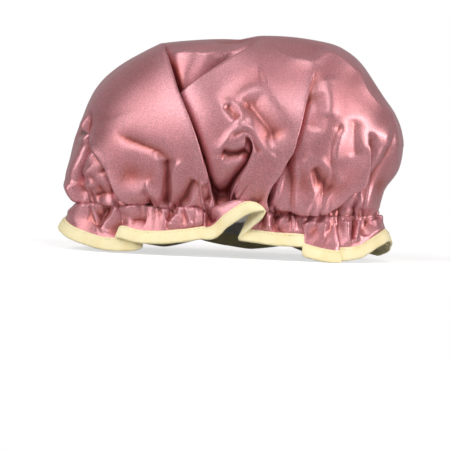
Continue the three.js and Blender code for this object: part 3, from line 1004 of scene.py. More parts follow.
@dataclass(frozen=True)
class RuffleForm:
    """The ruffle's curve from the stitching to the hem at every column.

    Attributes:
        mouth: Plan of the mouth.
        knots: The hem's knots in any order.
        rows_above: Rows between the stitching and the binding's top edge.
        rows_bound: Rows under the binding.
        binding: Width of the binding.
        reach: Share of the way out at which the curve bends down.
        lifted_reach: How much further out it bends where the hem is lifted.
        sink: Share of the way down at the bend.
    """

    mouth: MouthPlan
    knots: tuple[HemKnot, ...]
    rows_above: int = 25
    rows_bound: int = 11
    binding: float = 9.4
    reach: float = 0.64
    lifted_reach: float = 0.16
    sink: float = 0.38

    def hem_values(self, angle: np.ndarray) -> np.ndarray:
        """Blend the knots along the stitching.

        Args:
            angle: Column angles in radians.

        Returns:
            Plan angle in degrees, distance out, height and lift, one row per column.
        """
        ordered = sorted(self.knots, key=lambda knot: knot.gather)
        wrapped = ordered[-3:] + ordered + ordered[:3]
        turns = [-360.0] * 3 + [0.0] * len(ordered) + [360.0] * 3
        table = np.array(
            [
                (knot.gather + turn, knot.plan + turn, knot.out, knot.height, knot.lift)
                for knot, turn in zip(wrapped, turns)
            ]
        )
        place = table[:, 0]
        values = table[:, 1:]
        slopes = np.gradient(values, place, axis=0)
        degrees = np.degrees(angle)
        index = np.clip(np.searchsorted(place, degrees, side="right") - 1, 0, len(place) - 2)
        after = index + 1
        width = (place[after] - place[index])[:, None]
        share = (degrees - place[index])[:, None] / width
        return hermite(share, values[index], values[after], width * slopes[index], width * slopes[after])

    def surface(self, angle: np.ndarray) -> np.ndarray:
        """Sample the ruffle below the stitching.

        Args:
            angle: Column angles in radians.

        Returns:
            Points by row, from just below the stitching to the hem, and column.
        """
        plan, out, height, lift = self.hem_values(angle).T
        plan = np.radians(plan)
        start = self.mouth.point(angle)
        end = self.mouth.point(plan) + out[:, None] * self.mouth.normal(plan)
        end[:, 2] = np.maximum(height, 0.0)
        reach = self.reach + self.lifted_reach * smoothstep(2.0, 10.0, lift)
        bend = np.stack([reach, reach, np.full_like(reach, self.sink)], axis=-1)
        handle = start + bend * (end - start)
        handle[:, 2] += lift
        share = np.linspace(0.0, 1.0, 61)[:, None, None]
        curve = (1 - share) ** 2 * start + 2 * share * (1 - share) * handle + share**2 * end
        steps = np.linalg.norm(np.diff(curve, axis=0), axis=2)
        along = np.vstack([np.zeros(len(angle)), np.cumsum(steps, axis=0)])
        above = np.linspace(0.0, 1.0, self.rows_above + 1)[1:]
        bound = np.linspace(0.0, 1.0, self.rows_bound + 1)[1:]
        rows = np.empty((self.rows_above + self.rows_bound, len(angle), 3))
        for column, length in enumerate(along[-1]):
            tape_top = length - self.binding
            wanted = np.concatenate([above * tape_top, tape_top + bound * self.binding])
            for axis in range(3):
                rows[:, column, axis] = np.interp(wanted, along[:, column], curve[:, column, axis])
        return rows


# Cloth as a grid


def new_mesh(name: str, points: np.ndarray, faces: list[list[int]]) -> bpy.types.Mesh:
    """Make a mesh.

    Args:
        name: Name of the mesh.
        points: Points in millimetres.
        faces: Indices of each face's points.

    Returns:
        The mesh, in metres.
    """
    mesh = bpy.data.meshes.new(name)
    mesh.from_pydata((points * METRES).tolist(), [], faces)
    return mesh


def new_object(name: str, data: bpy.types.ID) -> bpy.types.Object:
    """Put a mesh, a lamp or a camera into the scene.

    Args:
        name: Name of the object.
        data: What it shows.

    Returns:
        The new object.
    """
    made = bpy.data.objects.new(name, data)
    bpy.context.scene.collection.objects.link(made)
    return made


@dataclass
class ClothGrid:
    """A sheet of cloth as rows and columns of points, closed round the columns.

    Attributes:
        rows: Points by row, from the top to the hem, and column.
        pole: The point that closes the first row, if there is one.
        fine: Height above the cloth close by that counts as a full ridge.
        broad: The same above the cloth further round.
    """

    rows: np.ndarray
    pole: np.ndarray | None = None
    fine: float = 1.8
    broad: float = 3.8

    def normals(self) -> np.ndarray:
        """Give the outward directions.

        Returns:
            Unit vectors by row and column.
        """
        along = np.roll(self.rows, -1, axis=1) - np.roll(self.rows, 1, axis=1)
        down = np.gradient(self.rows, axis=0)
        return unit(np.cross(down, along))

    def smoothed(self, rounds: int, share: float) -> ClothGrid:
        """Ease the points towards the middle of their neighbours.

        Args:
            rounds: Number of passes.
            share: Share of the way in each pass.

        Returns:
            The eased grid. Its hem stays where it is.
        """
        rows = self.rows.copy()
        for _ in range(rounds):
            middle = (np.roll(rows, 1, axis=1) + np.roll(rows, -1, axis=1)) / 2
            middle[1:-1] = (middle[1:-1] + (rows[:-2] + rows[2:]) / 2) / 2
            rows[1:-1] += share * (middle - rows)[1:-1]
        return ClothGrid(rows, self.pole)

    def relief(self) -> np.ndarray:
        """Tell ridges from hollows, to set the satin's painted shade and painted highlights.

        Returns:
            Shares by row and column, from -1 in deep hollows to 1 on high ridges.
        """
        normals = self.normals()
        close = np.sum((self.rows - self.smoothed(24, 0.6).rows) * normals, axis=2)
        further = np.sum((self.rows - self.smoothed(150, 0.6).rows) * normals, axis=2)
        return np.clip(close / self.fine + further / self.broad, -1.0, 1.0)

    def offset(self, distance: float) -> ClothGrid:
        """Move the sheet along its outward directions, eased round the columns.

        Args:
            distance: How far; negative is inwards.

        Returns:
            The moved grid, with no pole.
        """
        normal = self.normals()
        for _ in range(2):
            normal = unit(normal + np.roll(normal, 1, axis=1) + np.roll(normal, -1, axis=1))
        return ClothGrid(self.rows + distance * normal)

    def to_object(self, name: str, material: bpy.types.Material) -> bpy.types.Object:
        """Write the grid as a smooth mesh with its cloth measures as UVs.

        Args:
            name: Name of the object.
            material: Its material.

        Returns:
            The new object.
        """
        rows, columns = self.rows.shape[:2]
        index = np.arange(rows * columns).reshape(rows, columns)
        beside = np.roll(index, -1, axis=1)
        quads = np.stack([index[1:], beside[1:], beside[:-1], index[:-1]], axis=-1).reshape(-1, 4)
        points = self.rows.reshape(-1, 3)
        faces: list[list[int]] = quads.tolist()
        if self.pole is not None:
            pole_index = len(points)
            points = np.vstack([points, self.pole[None]])
            faces += [[int(a), int(b), pole_index] for a, b in zip(index[0], beside[0])]
        mesh = new_mesh(name, points, faces)
        mesh.polygons.foreach_set("use_smooth", np.ones(len(faces), dtype=bool))
        self.write_uvs(mesh, rows, columns)
        # The relief is written for the satin's painted shade in hollows and painted highlights on ridges.
        relief = np.zeros(len(points), dtype=np.float32)
        relief[: rows * columns] = self.relief().ravel()
        mesh.attributes.new("relief", "FLOAT", "POINT").data.foreach_set("value", relief)
        mesh.materials.append(material)
        mesh.validate()
        return new_object(name, mesh)

    def write_uvs(self, mesh: bpy.types.Mesh, rows: int, columns: int) -> None:
        """Write metres of cloth round and down the sheet as UVs.

        Args:
            mesh: Mesh of this grid.
            rows: Number of rows.
            columns: Number of columns.
        """
        round_length = np.linalg.norm(np.diff(self.rows[rows // 2], axis=0), axis=1).sum()
        steps = np.linalg.norm(np.diff(self.rows, axis=0), axis=2).mean(axis=1)
        down = np.concatenate([[0.0], np.cumsum(steps)])
        across = np.linspace(0.0, round_length, columns + 1)
        row = np.repeat(np.arange(rows - 1), columns)
        column = np.tile(np.arange(columns), rows - 1)
        corner_rows = np.stack([row + 1, row + 1, row, row], axis=1)
        corner_columns = np.stack([column, column + 1, column + 1, column], axis=1)
        uvs = np.stack([across[corner_columns], down[corner_rows]], axis=-1).reshape(-1, 2)
        if self.pole is not None:
            fan = np.stack([across[:-1], across[1:], across[:-1]], axis=1)
            flat = np.stack([fan, np.zeros_like(fan)], axis=-1).reshape(-1, 2)
            uvs = np.vstack([uvs, flat])
        layer = mesh.uv_layers.new(name="cloth")
        layer.data.foreach_set("uv", (uvs * METRES).ravel())


def fold_moves(rows: np.ndarray, normals: np.ndarray, shapes: tuple[Shaping, ...]) -> np.ndarray:
    """Sum up the moves that shapes make.

    Args:
        rows: Points by row and column.
        normals: Outward directions there.
        shapes: The shapes.

    Returns:
        Moves by row and column.
    """
    cloth = FoldField(rows.reshape(-1, 3), normals.reshape(-1, 3))
    for shape in shapes:
        shape.apply(cloth)
    return cloth.moves.reshape(rows.shape)


@dataclass
class CapForm:
    """The shaped satin: crown, gathers and ruffle as one grid.

    Attributes:
        mouth: Plan of the mouth.
        columns: Columns round the cap.
        crown_rows: Rows from the top to the stitching.
        dense: Angles in degrees where the columns stand closer.
        crest: Height of the plain crown's top.
        fold_start: Distance above the stitching over which the crown's folds come in.
        fold_hold: Share of the ruffle's folds that the binding holds back.
        gather_hold: Share of the gathers that it holds back.
        angle: Angles of the columns in radians.
        ruffle: Form of the ruffle.
    """

    mouth: MouthPlan = MouthPlan()
    columns: int = 640
    crown_rows: int = 118
    dense: tuple[float, ...] = (229.0, 272.0, 299.0)
    crest: float = 164.6
    fold_start: float = 9.0
    fold_hold: float = 0.85
    gather_hold: float = 0.75
    angle: np.ndarray = field(init=False)
    ruffle: RuffleForm = field(init=False)

    def __post_init__(self) -> None:
        """Lay out the columns and the hem."""
        self.angle = self.mouth.columns(self.columns, self.dense)
        self.ruffle = RuffleForm(self.mouth, FRONT_HEM + BACK_HEM)

    @property
    def mouth_row(self) -> int:
        """Row of the stitching."""
        return self.crown_rows - 1

    @property
    def binding_row(self) -> int:
        """Row of the binding's top edge."""
        return self.mouth_row + self.ruffle.rows_above

    def plain(self) -> ClothGrid:
        """Build the crown and ruffle with no folds or gathers.

        Returns:
            The plain grid.
        """
        up = np.linspace(1.0, 0.0, self.crown_rows + 1)[1:]
        shares = 1.0 - (0.75 * up + 0.25 * up**2)
        crown = CrownBase(self.mouth).surface(self.angle, shares)
        rows = np.concatenate([crown, self.ruffle.surface(self.angle)])
        return ClothGrid(rows, np.array([0.0, 0.0, self.crest]))

    def build(self) -> ClothGrid:
        """Fold and gather the plain form.

        Returns:
            The satin's grid.
        """
        grid = self.plain()
        normals = grid.normals()
        steps = np.linalg.norm(np.diff(grid.rows, axis=0), axis=2)
        down = np.vstack([np.zeros(self.columns), np.cumsum(steps, axis=0)])
        distance = down[self.mouth_row] - down
        self.fold(grid, normals, distance)
        self.gather(grid, normals, distance)
        grid.pole = grid.rows[0].mean(axis=0)
        return grid.smoothed(1, 0.3)

    def fold(self, grid: ClothGrid, normals: np.ndarray, distance: np.ndarray) -> None:
        """Fold the crown, and the ruffle as far as the binding lets it.

        Args:
            grid: The grid, which is moved.
            normals: Outward directions of the plain grid.
            distance: Distances from the stitching; positive is up.
        """
        count = self.crown_rows
        crown = fold_moves(grid.rows[:count], normals[:count], FRONT_FOLDS + OTHER_FOLDS)
        hung = fold_moves(grid.rows[count:], normals[count:], RUFFLE_FOLDS)
        edge = self.ruffle.rows_above
        free = 1 - self.fold_hold * smoothstep(edge - 6, edge + 1, np.arange(len(hung)))
        grid.rows[:count] += crown * smoothstep(0.0, self.fold_start, distance[:count])[..., None]
        grid.rows[count:] += hung * free[:, None, None]

    def gather(self, grid: ClothGrid, normals: np.ndarray, distance: np.ndarray) -> None:
        """Gather the folded cloth at the stitching.

        Args:
            grid: The grid, which is moved.
            normals: Outward directions of the plain grid.
            distance: Distances from the stitching; positive is up.
        """
        ring = self.mouth.point(self.angle)
        turn = lengths_along(np.vstack([ring, ring[:1]]))
        turns = np.broadcast_to(turn[:-1] / turn[-1], distance.shape)
        made = [gathers.relief(turns, distance) for gathers in GATHERS]
        row = np.arange(len(grid.rows))
        stiff = 1 - self.gather_hold * smoothstep(self.binding_row - 4, self.binding_row + 2, row)
        fade = np.prod([1 - place.share(grid.rows) for place in SMOOTH_PLACES], axis=0)
        relief = sum(height for height, _ in made) * stiff[:, None] * fade
        shift = sum(shift for _, shift in made) * stiff[:, None] * fade * turn[-1]
        flat = self.mouth.normal(self.angle)
        along = np.stack([-flat[:, 1], flat[:, 0], flat[:, 2]], axis=-1)
        outward = 0.4 * flat[None] + 0.6 * normals
        grid.rows += relief[..., None] * outward + shift[..., None] * along[None]


# Finishes


class NodeBench:
    """A node tree with short ways to add and join its nodes."""

    def __init__(self, tree: bpy.types.NodeTree) -> None:
        """Work on a tree."""
        self.tree = tree

    def add(self, kind: str, operation: str = "", **values: float) -> bpy.types.Node:
        """Add a node and set its inputs by name.

        Args:
            kind: Type name of the node.
            operation: Its operation, where it has a choice.
            values: Input names, with underscores for spaces, and their values.

        Returns:
            The new node.
        """
        node = self.tree.nodes.new(kind)
        if operation:
            node.operation = operation
        for name, value in values.items():
            node.inputs[name.replace("_", " ")].default_value = value
        return node

    def join(self, *wires: tuple[bpy.types.Node, str | int, bpy.types.Node, str | int]) -> None:
        """Join nodes.

        Args:
            wires: Each a node, its output, the next node and its input.
        """
        for source, output, target, socket in wires:
            self.tree.links.new(source.outputs[output], target.inputs[socket])


class Dressing(NodeBench):
    """A material while it is made."""

    def __init__(self, name: str, **values: float | tuple[float, ...]) -> None:
        """Start the material with its shader's plain values.

        Args:
            name: Name of the material.
            values: Input names of the shader, with underscores for spaces, and their values.
        """
        self.material = bpy.data.materials.new(name)
        self.material.use_nodes = True
        super().__init__(self.material.node_tree)
        self.shader = self.tree.nodes["Principled BSDF"]
        self.set(**values)

    def set(self, **values: float | tuple[float, ...]) -> None:
        """Set plain values of the shader by name."""
        for name, value in values.items():
            self.shader.inputs[name.replace("_", " ")].default_value = value

    def pattern(self, kind: str, source: str = "Object", **values: float) -> bpy.types.Node:
        """Add a texture that lies on the piece.

        Args:
            kind: Type name of the texture.
            source: Coordinates that it reads.
            values: Its input names and values.

        Returns:
            The texture's node.
        """
        texture = self.add(kind, **values)
        self.join((self.add("ShaderNodeTexCoord"), source, texture, "Vector"))
        return texture

    def bump(self, texture: bpy.types.Node, output: str, strength: float, distance: float) -> None:
        """Raise the surface by a texture.

        Args:
            texture: The texture.
            output: Its output that gives the height.
            strength: Strength of the relief.
            distance: Height of the relief in metres.
        """
        bump = self.add("ShaderNodeBump", Strength=strength, Distance=distance)
        self.join((texture, output, bump, "Height"), (bump, "Normal", self.shader, "Normal"))

    def ramp(
        self, node: bpy.types.Node, output: str, *stops: tuple[float, tuple[float, ...]]
    ) -> bpy.types.Node:
        """Turn a node's output into a colour.

        Args:
            node: The node.
            output: Its output that gives the factor.
            stops: Places and linear colours of the ramp.

        Returns:
            The ramp's node.
        """
        ramp = self.add("ShaderNodeValToRGB")
        elements = ramp.color_ramp.elements
        while len(elements) < len(stops):
            elements.new(0.5)
        for element, (place, color) in zip(elements, stops):
            element.position = place
            element.color = (*color, 1.0)
        self.join((node, output, ramp, "Fac"))
        return ramp

    def paint(self, node: bpy.types.Node, output: str, *stops: tuple[float, tuple[float, ...]]) -> None:
        """Colour the surface by a node's output, through a ramp."""
        self.join((self.ramp(node, output, *stops), "Color", self.shader, "Base Color"))


@dataclass(frozen=True)
class Finish:
    """A material's plain values.

    Attributes:
        name: Name of the material.
        color: Base colour, linear.
        roughness: Roughness of its gloss.
    """

    name: str
    color: Triple
    roughness: float

    def make(self) -> bpy.types.Material:
        """Build the material.

        Returns:
            The material.
        """
        on = Dressing(self.name, Base_Color=(*self.color, 1.0), Roughness=self.roughness)
        self.dress(on)
        return on.material

    def dress(self, on: Dressing) -> None:
        """Add what the finish has beyond its plain values."""


@dataclass(frozen=True)
class SatinFinish(Finish):
    """Dusty rose satin, with painted shade in its hollows and creases and painted highlights on its ridges,
    and a grainy gloss.

    Attributes:
        painted_crease_shade: Linear colour of the painted shade at the bottom of creases.
        painted_hollow_shade: Linear colour of the painted shade, with a warm painted bounce, in hollows.
        ridge: Linear colour of the painted highlight on high ridges.
    """

    name: str = "satin_rose"
    color: Triple = (0.6, 0.235, 0.255)
    roughness: float = 0.41
    # Colours of the painted shade in creases and hollows, with a warm painted bounce in the hollows, and of
    # the painted highlight on ridges.
    painted_crease_shade: Triple = (0.2, 0.025, 0.025)
    painted_hollow_shade: Triple = (0.5, 0.145, 0.13)
    ridge: Triple = (0.64, 0.285, 0.315)

    def dress(self, on: Dressing) -> None:
        """Paint shade into the satin's hollows and a highlight onto its ridges by its relief, and give it its
        threads and gloss.

        Args:
            on: The material.
        """
        # The relief sets painted shade in hollows and a painted highlight on ridges; the noise varies the
        # tone at random.
        relief = on.add("ShaderNodeAttribute")
        relief.attribute_name = "relief"
        level = on.add("ShaderNodeMapRange", From_Min=-1.0)
        tone = on.pattern("ShaderNodeTexNoise", Scale=34.0, Detail=3.0)
        painted_shade_and_tone = on.add("ShaderNodeMath", "MULTIPLY_ADD")
        painted_shade_and_tone.inputs[1].default_value = 0.3
        on.join((relief, "Fac", level, "Value"), (tone, "Fac", painted_shade_and_tone, 0), (level, "Result", painted_shade_and_tone, 2))
        stops = ((0.15, self.painted_crease_shade), (0.4, self.painted_hollow_shade), (0.66, self.color), (1.0, self.ridge))
        color = on.ramp(painted_shade_and_tone, "Value", *stops)
        weave = on.pattern("ShaderNodeTexNoise", Scale=1300.0, Detail=1.0)
        grain = on.add("ShaderNodeMapRange", From_Min=0.35, From_Max=0.65, To_Min=0.8, To_Max=1.2)
        thread = on.add("ShaderNodeHueSaturation")
        on.join(
            (weave, "Fac", grain, "Value"),
            (grain, "Result", thread, "Value"),
            (color, "Color", thread, "Color"),
            (thread, "Color", on.shader, "Base Color"),
        )
        on.bump(weave, "Fac", 0.45, 0.0003)
        on.set(Metallic=0.58, Anisotropic=0.75, Anisotropic_Rotation=0.25)
        on.set(Coat_Weight=0.3, Coat_Roughness=0.3, Coat_IOR=1.7)


@dataclass(frozen=True)
class FilmFinish(Finish):
    """Milky waterproof film with fine crinkles."""

    name: str = "film_milky"
    color: Triple = (0.82, 0.8, 0.79)
    roughness: float = 0.34

    def dress(self, on: Dressing) -> None:
        """Crinkle the film and vary its tone.

        Args:
            on: The material.
        """
        crinkle = on.pattern("ShaderNodeTexVoronoi", Scale=110.0)
        on.bump(crinkle, "Distance", 0.18, 0.0012)
        tone = on.pattern("ShaderNodeTexNoise", Scale=40.0, Detail=3.0)
        on.paint(tone, "Fac", (0.3, (0.76, 0.74, 0.74)), (0.7, (0.86, 0.85, 0.84)))


@dataclass(frozen=True)
class TapeFinish(Finish):
    """Cream tape with fine ribs across it."""

    name: str = "tape_cream"
    color: Triple = (0.93, 0.84, 0.5)
    roughness: float = 0.5

    def dress(self, on: Dressing) -> None:
        """Rib the tape and vary its tone.

        Args:
            on: The material.
        """
        ribs = on.pattern("ShaderNodeTexWave", "UV", Scale=420.0, Distortion=0.6)
        on.bump(ribs, "Fac", 0.2, 0.0003)
        tone = on.pattern("ShaderNodeTexNoise", Scale=90.0, Detail=4.0)
        on.paint(tone, "Fac", (0.3, (0.9, 0.78, 0.42)), (0.7, (0.95, 0.88, 0.56)))
        on.set(Sheen_Weight=0.15)


@dataclass(frozen=True)
class ThreadFinish(Finish):
    """Sewing thread with a twist."""

    def dress(self, on: Dressing) -> None:
        """Twist the thread, with painted shade in the twist's grooves.

        Args:
            on: The material.
        """
        twist = on.pattern("ShaderNodeTexWave", Scale=900.0, Distortion=1.0)
        # Painted shade in the grooves of the twist, following the bump.
        on.paint(twist, "Fac", (0.2, tuple(0.82 * value for value in self.color)), (0.8, self.color))
        on.bump(twist, "Fac", 0.4, 0.0002)


@dataclass(frozen=True)
class KnitFinish(Finish):
    """Knitted elastic with ribs along it."""

    name: str = "elastic_knit"
    color: Triple = (0.84, 0.81, 0.73)
    roughness: float = 0.8

    def dress(self, on: Dressing) -> None:
        """Rib the elastic.

        Args:
            on: The material.
        """
        ribs = on.pattern("ShaderNodeTexWave", Scale=320.0, Distortion=0.4)
        ribs.bands_direction = "Z"
        on.bump(ribs, "Fac", 0.5, 0.0004)
        # Painted shade in the grooves between the ribs, following the bump.
        on.paint(ribs, "Fac", (0.2, tuple(0.85 * value for value in self.color)), (0.8, self.color))


# Pieces


def settle(piece: bpy.types.Object, slot: str, *nodes: str) -> None:
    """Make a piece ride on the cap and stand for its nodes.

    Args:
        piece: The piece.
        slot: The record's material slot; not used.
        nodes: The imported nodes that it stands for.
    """
    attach(piece, BODY)
    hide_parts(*nodes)
    LOG.info("%s: %d faces", piece.name, len(piece.data.polygons))


def sheet_area(piece: bpy.types.Object) -> float:
    """Measure a single layer of cloth in square metres."""
    return float(sum(face.area for face in piece.data.polygons))


@dataclass
class SatinOuter:
    """The satin crown and ruffle, one gathered sheet.

    Attributes:
        grid: The satin's grid.
    """

    grid: ClothGrid

    def build(self) -> bpy.types.Object:
        """Make the piece.

        Returns:
            The piece.
        """
        piece = self.grid.to_object("satin_sheet", SatinFinish().make())
        settle(piece, "satin", "satin_outer")
        return piece


@dataclass
class Liner:
    """The film liner, one sheet inside the satin.

    Attributes:
        form: The cap's form.
        grid: The satin's grid.
        gap: Distance inside the satin.
        gathers: Number of gathers above the stitching.
        depth: How far a gather goes inwards.
        rows_near: Rows up and down that it clears the satin's folds by.
        columns_near: Columns to each side that it clears them by.
        top_drop: Distance of its top below the satin's.
    """

    form: CapForm
    grid: ClothGrid
    gap: float = 0.9
    gathers: int = 72
    depth: float = 3.2
    rows_near: int = 5
    columns_near: int = 9
    top_drop: float = 4.0

    def build(self) -> bpy.types.Object:
        """Make the piece, which hangs clear of the satin's folds and follows it at the hem.

        Returns:
            The piece.
        """
        plain = self.form.plain()
        normals = plain.normals()
        height = np.sum((self.grid.rows - plain.rows) * normals, axis=2)
        row = np.arange(len(height))
        lowest = height.copy()
        for down in range(-self.rows_near, self.rows_near + 1):
            near = height[np.clip(row + down, 0, len(height) - 1)]
            for across in range(-self.columns_near, self.columns_near + 1):
                lowest = np.minimum(lowest, np.roll(near, across, axis=1))
        hung = ClothGrid(plain.rows + (lowest - self.gap)[..., None] * normals).smoothed(6, 0.5)
        mouth = self.form.mouth_row
        reach = smoothstep(mouth - 20, mouth - 10, row) * (1 - smoothstep(mouth - 4, mouth - 1, row))
        pleat = 0.5 - 0.5 * np.cos(self.gathers * self.form.angle)
        hung.rows -= self.depth * (reach[:, None] * pleat)[..., None] * normals
        tape = self.form.binding_row
        share = smoothstep(tape - 9, tape - 2, row)[:, None, None]
        rows = (1 - share) * hung.rows + share * self.grid.offset(-self.gap).rows
        film = ClothGrid(rows, self.grid.pole - np.array([0.0, 0.0, self.top_drop]))
        piece = film.to_object("film_sheet", FilmFinish().make())
        settle(piece, "film", "waterproof_liner")
        return piece


@dataclass
class HemBinding:
    """The tape folded round the hem.

    Attributes:
        form: The cap's form.
        grid: The satin's grid.
        liner_gap: Distance of the liner inside the satin.
        lift: Distance of the tape's faces from the cloth.
        puff: How far the tape's outer face swells between its edges.
        fold: How far its fold hangs below the hem.
        sunk: How far its two edges sink into the cloth.
    """

    form: CapForm
    grid: ClothGrid
    liner_gap: float
    lift: float = 0.55
    puff: float = 0.35
    fold: float = 0.75
    sunk: float = 0.1

    def build(self) -> bpy.types.Object:
        """Make the piece.

        Returns:
            The piece.
        """
        cloth = self.grid.rows[self.form.binding_row :]
        normals = ClothGrid(cloth).normals()
        swell = np.sin(np.pi * np.linspace(0.0, 1.0, len(cloth))) ** 0.6
        outer = cloth + (self.lift + self.puff * swell)[:, None, None] * normals
        inner = cloth - (self.liner_gap + self.lift) * normals
        start = cloth[:1] - self.sunk * normals[:1]
        finish = cloth[:1] - (self.liner_gap - self.sunk) * normals[:1]
        down = unit(cloth[-1:] - cloth[-2:-1])
        fold = cloth[-1:] + self.fold * down - 0.5 * self.liner_gap * normals[-1:]
        rows = np.concatenate([start, outer, fold, inner[::-1], finish])
        rows[..., 2] = np.maximum(rows[..., 2], 0.0)
        piece = ClothGrid(rows).to_object("binding_tape", TapeFinish().make())
        settle(piece, "binding", "hem_binding")
        return piece


@dataclass
class ElasticRun:
    """The elastic in its casing, inside the gathers.

    Attributes:
        form: The cap's form.
        inset: Distance of the casing's outer face inside the mouth's plan.
        width: Width of the elastic.
        wall: Thickness of the elastic.
        lap: Angle in degrees over which its ends overlap at the centre of the back.
        columns: Columns round the casing.
        stations: Stations along the elastic.
        gathers: Gathers of the casing.
    """

    form: CapForm
    inset: float = 5.4
    width: float = 6.0
    wall: float = 0.9
    lap: float = 7.2
    columns: int = 420
    stations: int = 440
    gathers: GatherSet = GatherSet(60, 0.7, 1e3, 1e3, 1.0, 31)

    def line(self, angle: np.ndarray, depth: np.ndarray, height: float) -> np.ndarray:
        """Draw a line round the mouth.

        Args:
            angle: Angles in radians.
            depth: Depths inside the casing's outer face, one per angle.
            height: Height above the stitching.

        Returns:
            One point per angle.
        """
        mouth = self.form.mouth
        points = mouth.point(angle) - (self.inset + depth)[:, None] * mouth.normal(angle)
        points[:, 2] += height
        return points

    def build(self) -> list[bpy.types.Object]:
        """Make the casing and the elastic.

        Returns:
            Both pieces.
        """
        bottom = -self.width - 2.2
        casing = self.casing(bottom)
        settle(casing, "film", "elastic_casing")
        elastic = self.lapped(0.8, bottom + 1.1)
        settle(elastic, "elastic", "elastic_band")
        return [casing, elastic]

    def casing(self, bottom: float) -> bpy.types.Object:
        """Sweep the casing's section round the mouth, with its own gathers.

        Args:
            bottom: Height of its lower edge above the stitching.

        Returns:
            The casing.
        """
        section = (
            (0.0, 1.4), (0.0, -1.5), (0.0, -4.0), (0.2, bottom + 1), (1.8, bottom), (4.1, bottom + 1),
            (4.5, -4.0), (4.3, -1.6), (2.6, 0.2), (0.9, 0.9), (0.5, 1.3),
        )
        angle = self.form.mouth.columns(self.columns, ())
        turn = np.linspace(0.0, 1.0, self.columns, endpoint=False)
        relief = self.gathers.relief(turn[None, :], np.ones((1, self.columns)))[0][0]
        rows = np.array([self.line(angle, depth - relief, height) for depth, height in section])
        return ClothGrid(rows).to_object("casing_strip", FilmFinish(name="film_casing").make())

    def lapped(self, depth: float, low: float) -> bpy.types.Object:
        """Sweep the elastic once round and over its own start.

        Args:
            depth: Depth of its outer face inside the casing's outer face.
            low: Height of its lower edge above the stitching.

        Returns:
            The elastic.
        """
        along = np.linspace(0.0, 360.0 + self.lap, self.stations)
        angle = np.radians(90.0 - self.lap / 2 + along)
        face = depth + (self.wall + 0.1) * smoothstep(360.0 - 3 * self.lap, 360.0 - self.lap, along)
        high = low + self.width
        corners = [
            self.line(angle, face + inwards, height)
            for inwards, height in ((0.0, low), (0.0, high), (self.wall, high), (self.wall, low))
        ]
        points = np.stack(corners, axis=1).reshape(-1, 3)
        faces = [[3, 2, 1, 0], [len(points) - 4 + corner for corner in range(4)]]
        for station in range(0, len(points) - 4, 4):
            for corner in range(4):
                here = station + corner
                beside = station + (corner + 1) % 4
                faces.append([here, beside, beside + 4, here + 4])
        mesh = new_mesh("elastic_strip", points, faces)
        shell = bmesh.new()
        shell.from_mesh(mesh)
        bmesh.ops.recalc_face_normals(shell, faces=shell.faces[:])
        shell.to_mesh(mesh)
        shell.free()
        mesh.materials.append(KnitFinish().make())
        return new_object("elastic_strip", mesh)


@dataclass(frozen=True)
class StitchRow:
    """How a row of stitches is sewn.

    Attributes:
        spacing: Distance from stitch to stitch.
        length: Length of a stitch.
        radius: Radius of the thread.
        seed: Seed of the stitches' unevenness.
        unevenness: How much shorter the shortest stitch is.
    """

    spacing: float
    length: float
    radius: float
    seed: int
    unevenness: float = 0.18


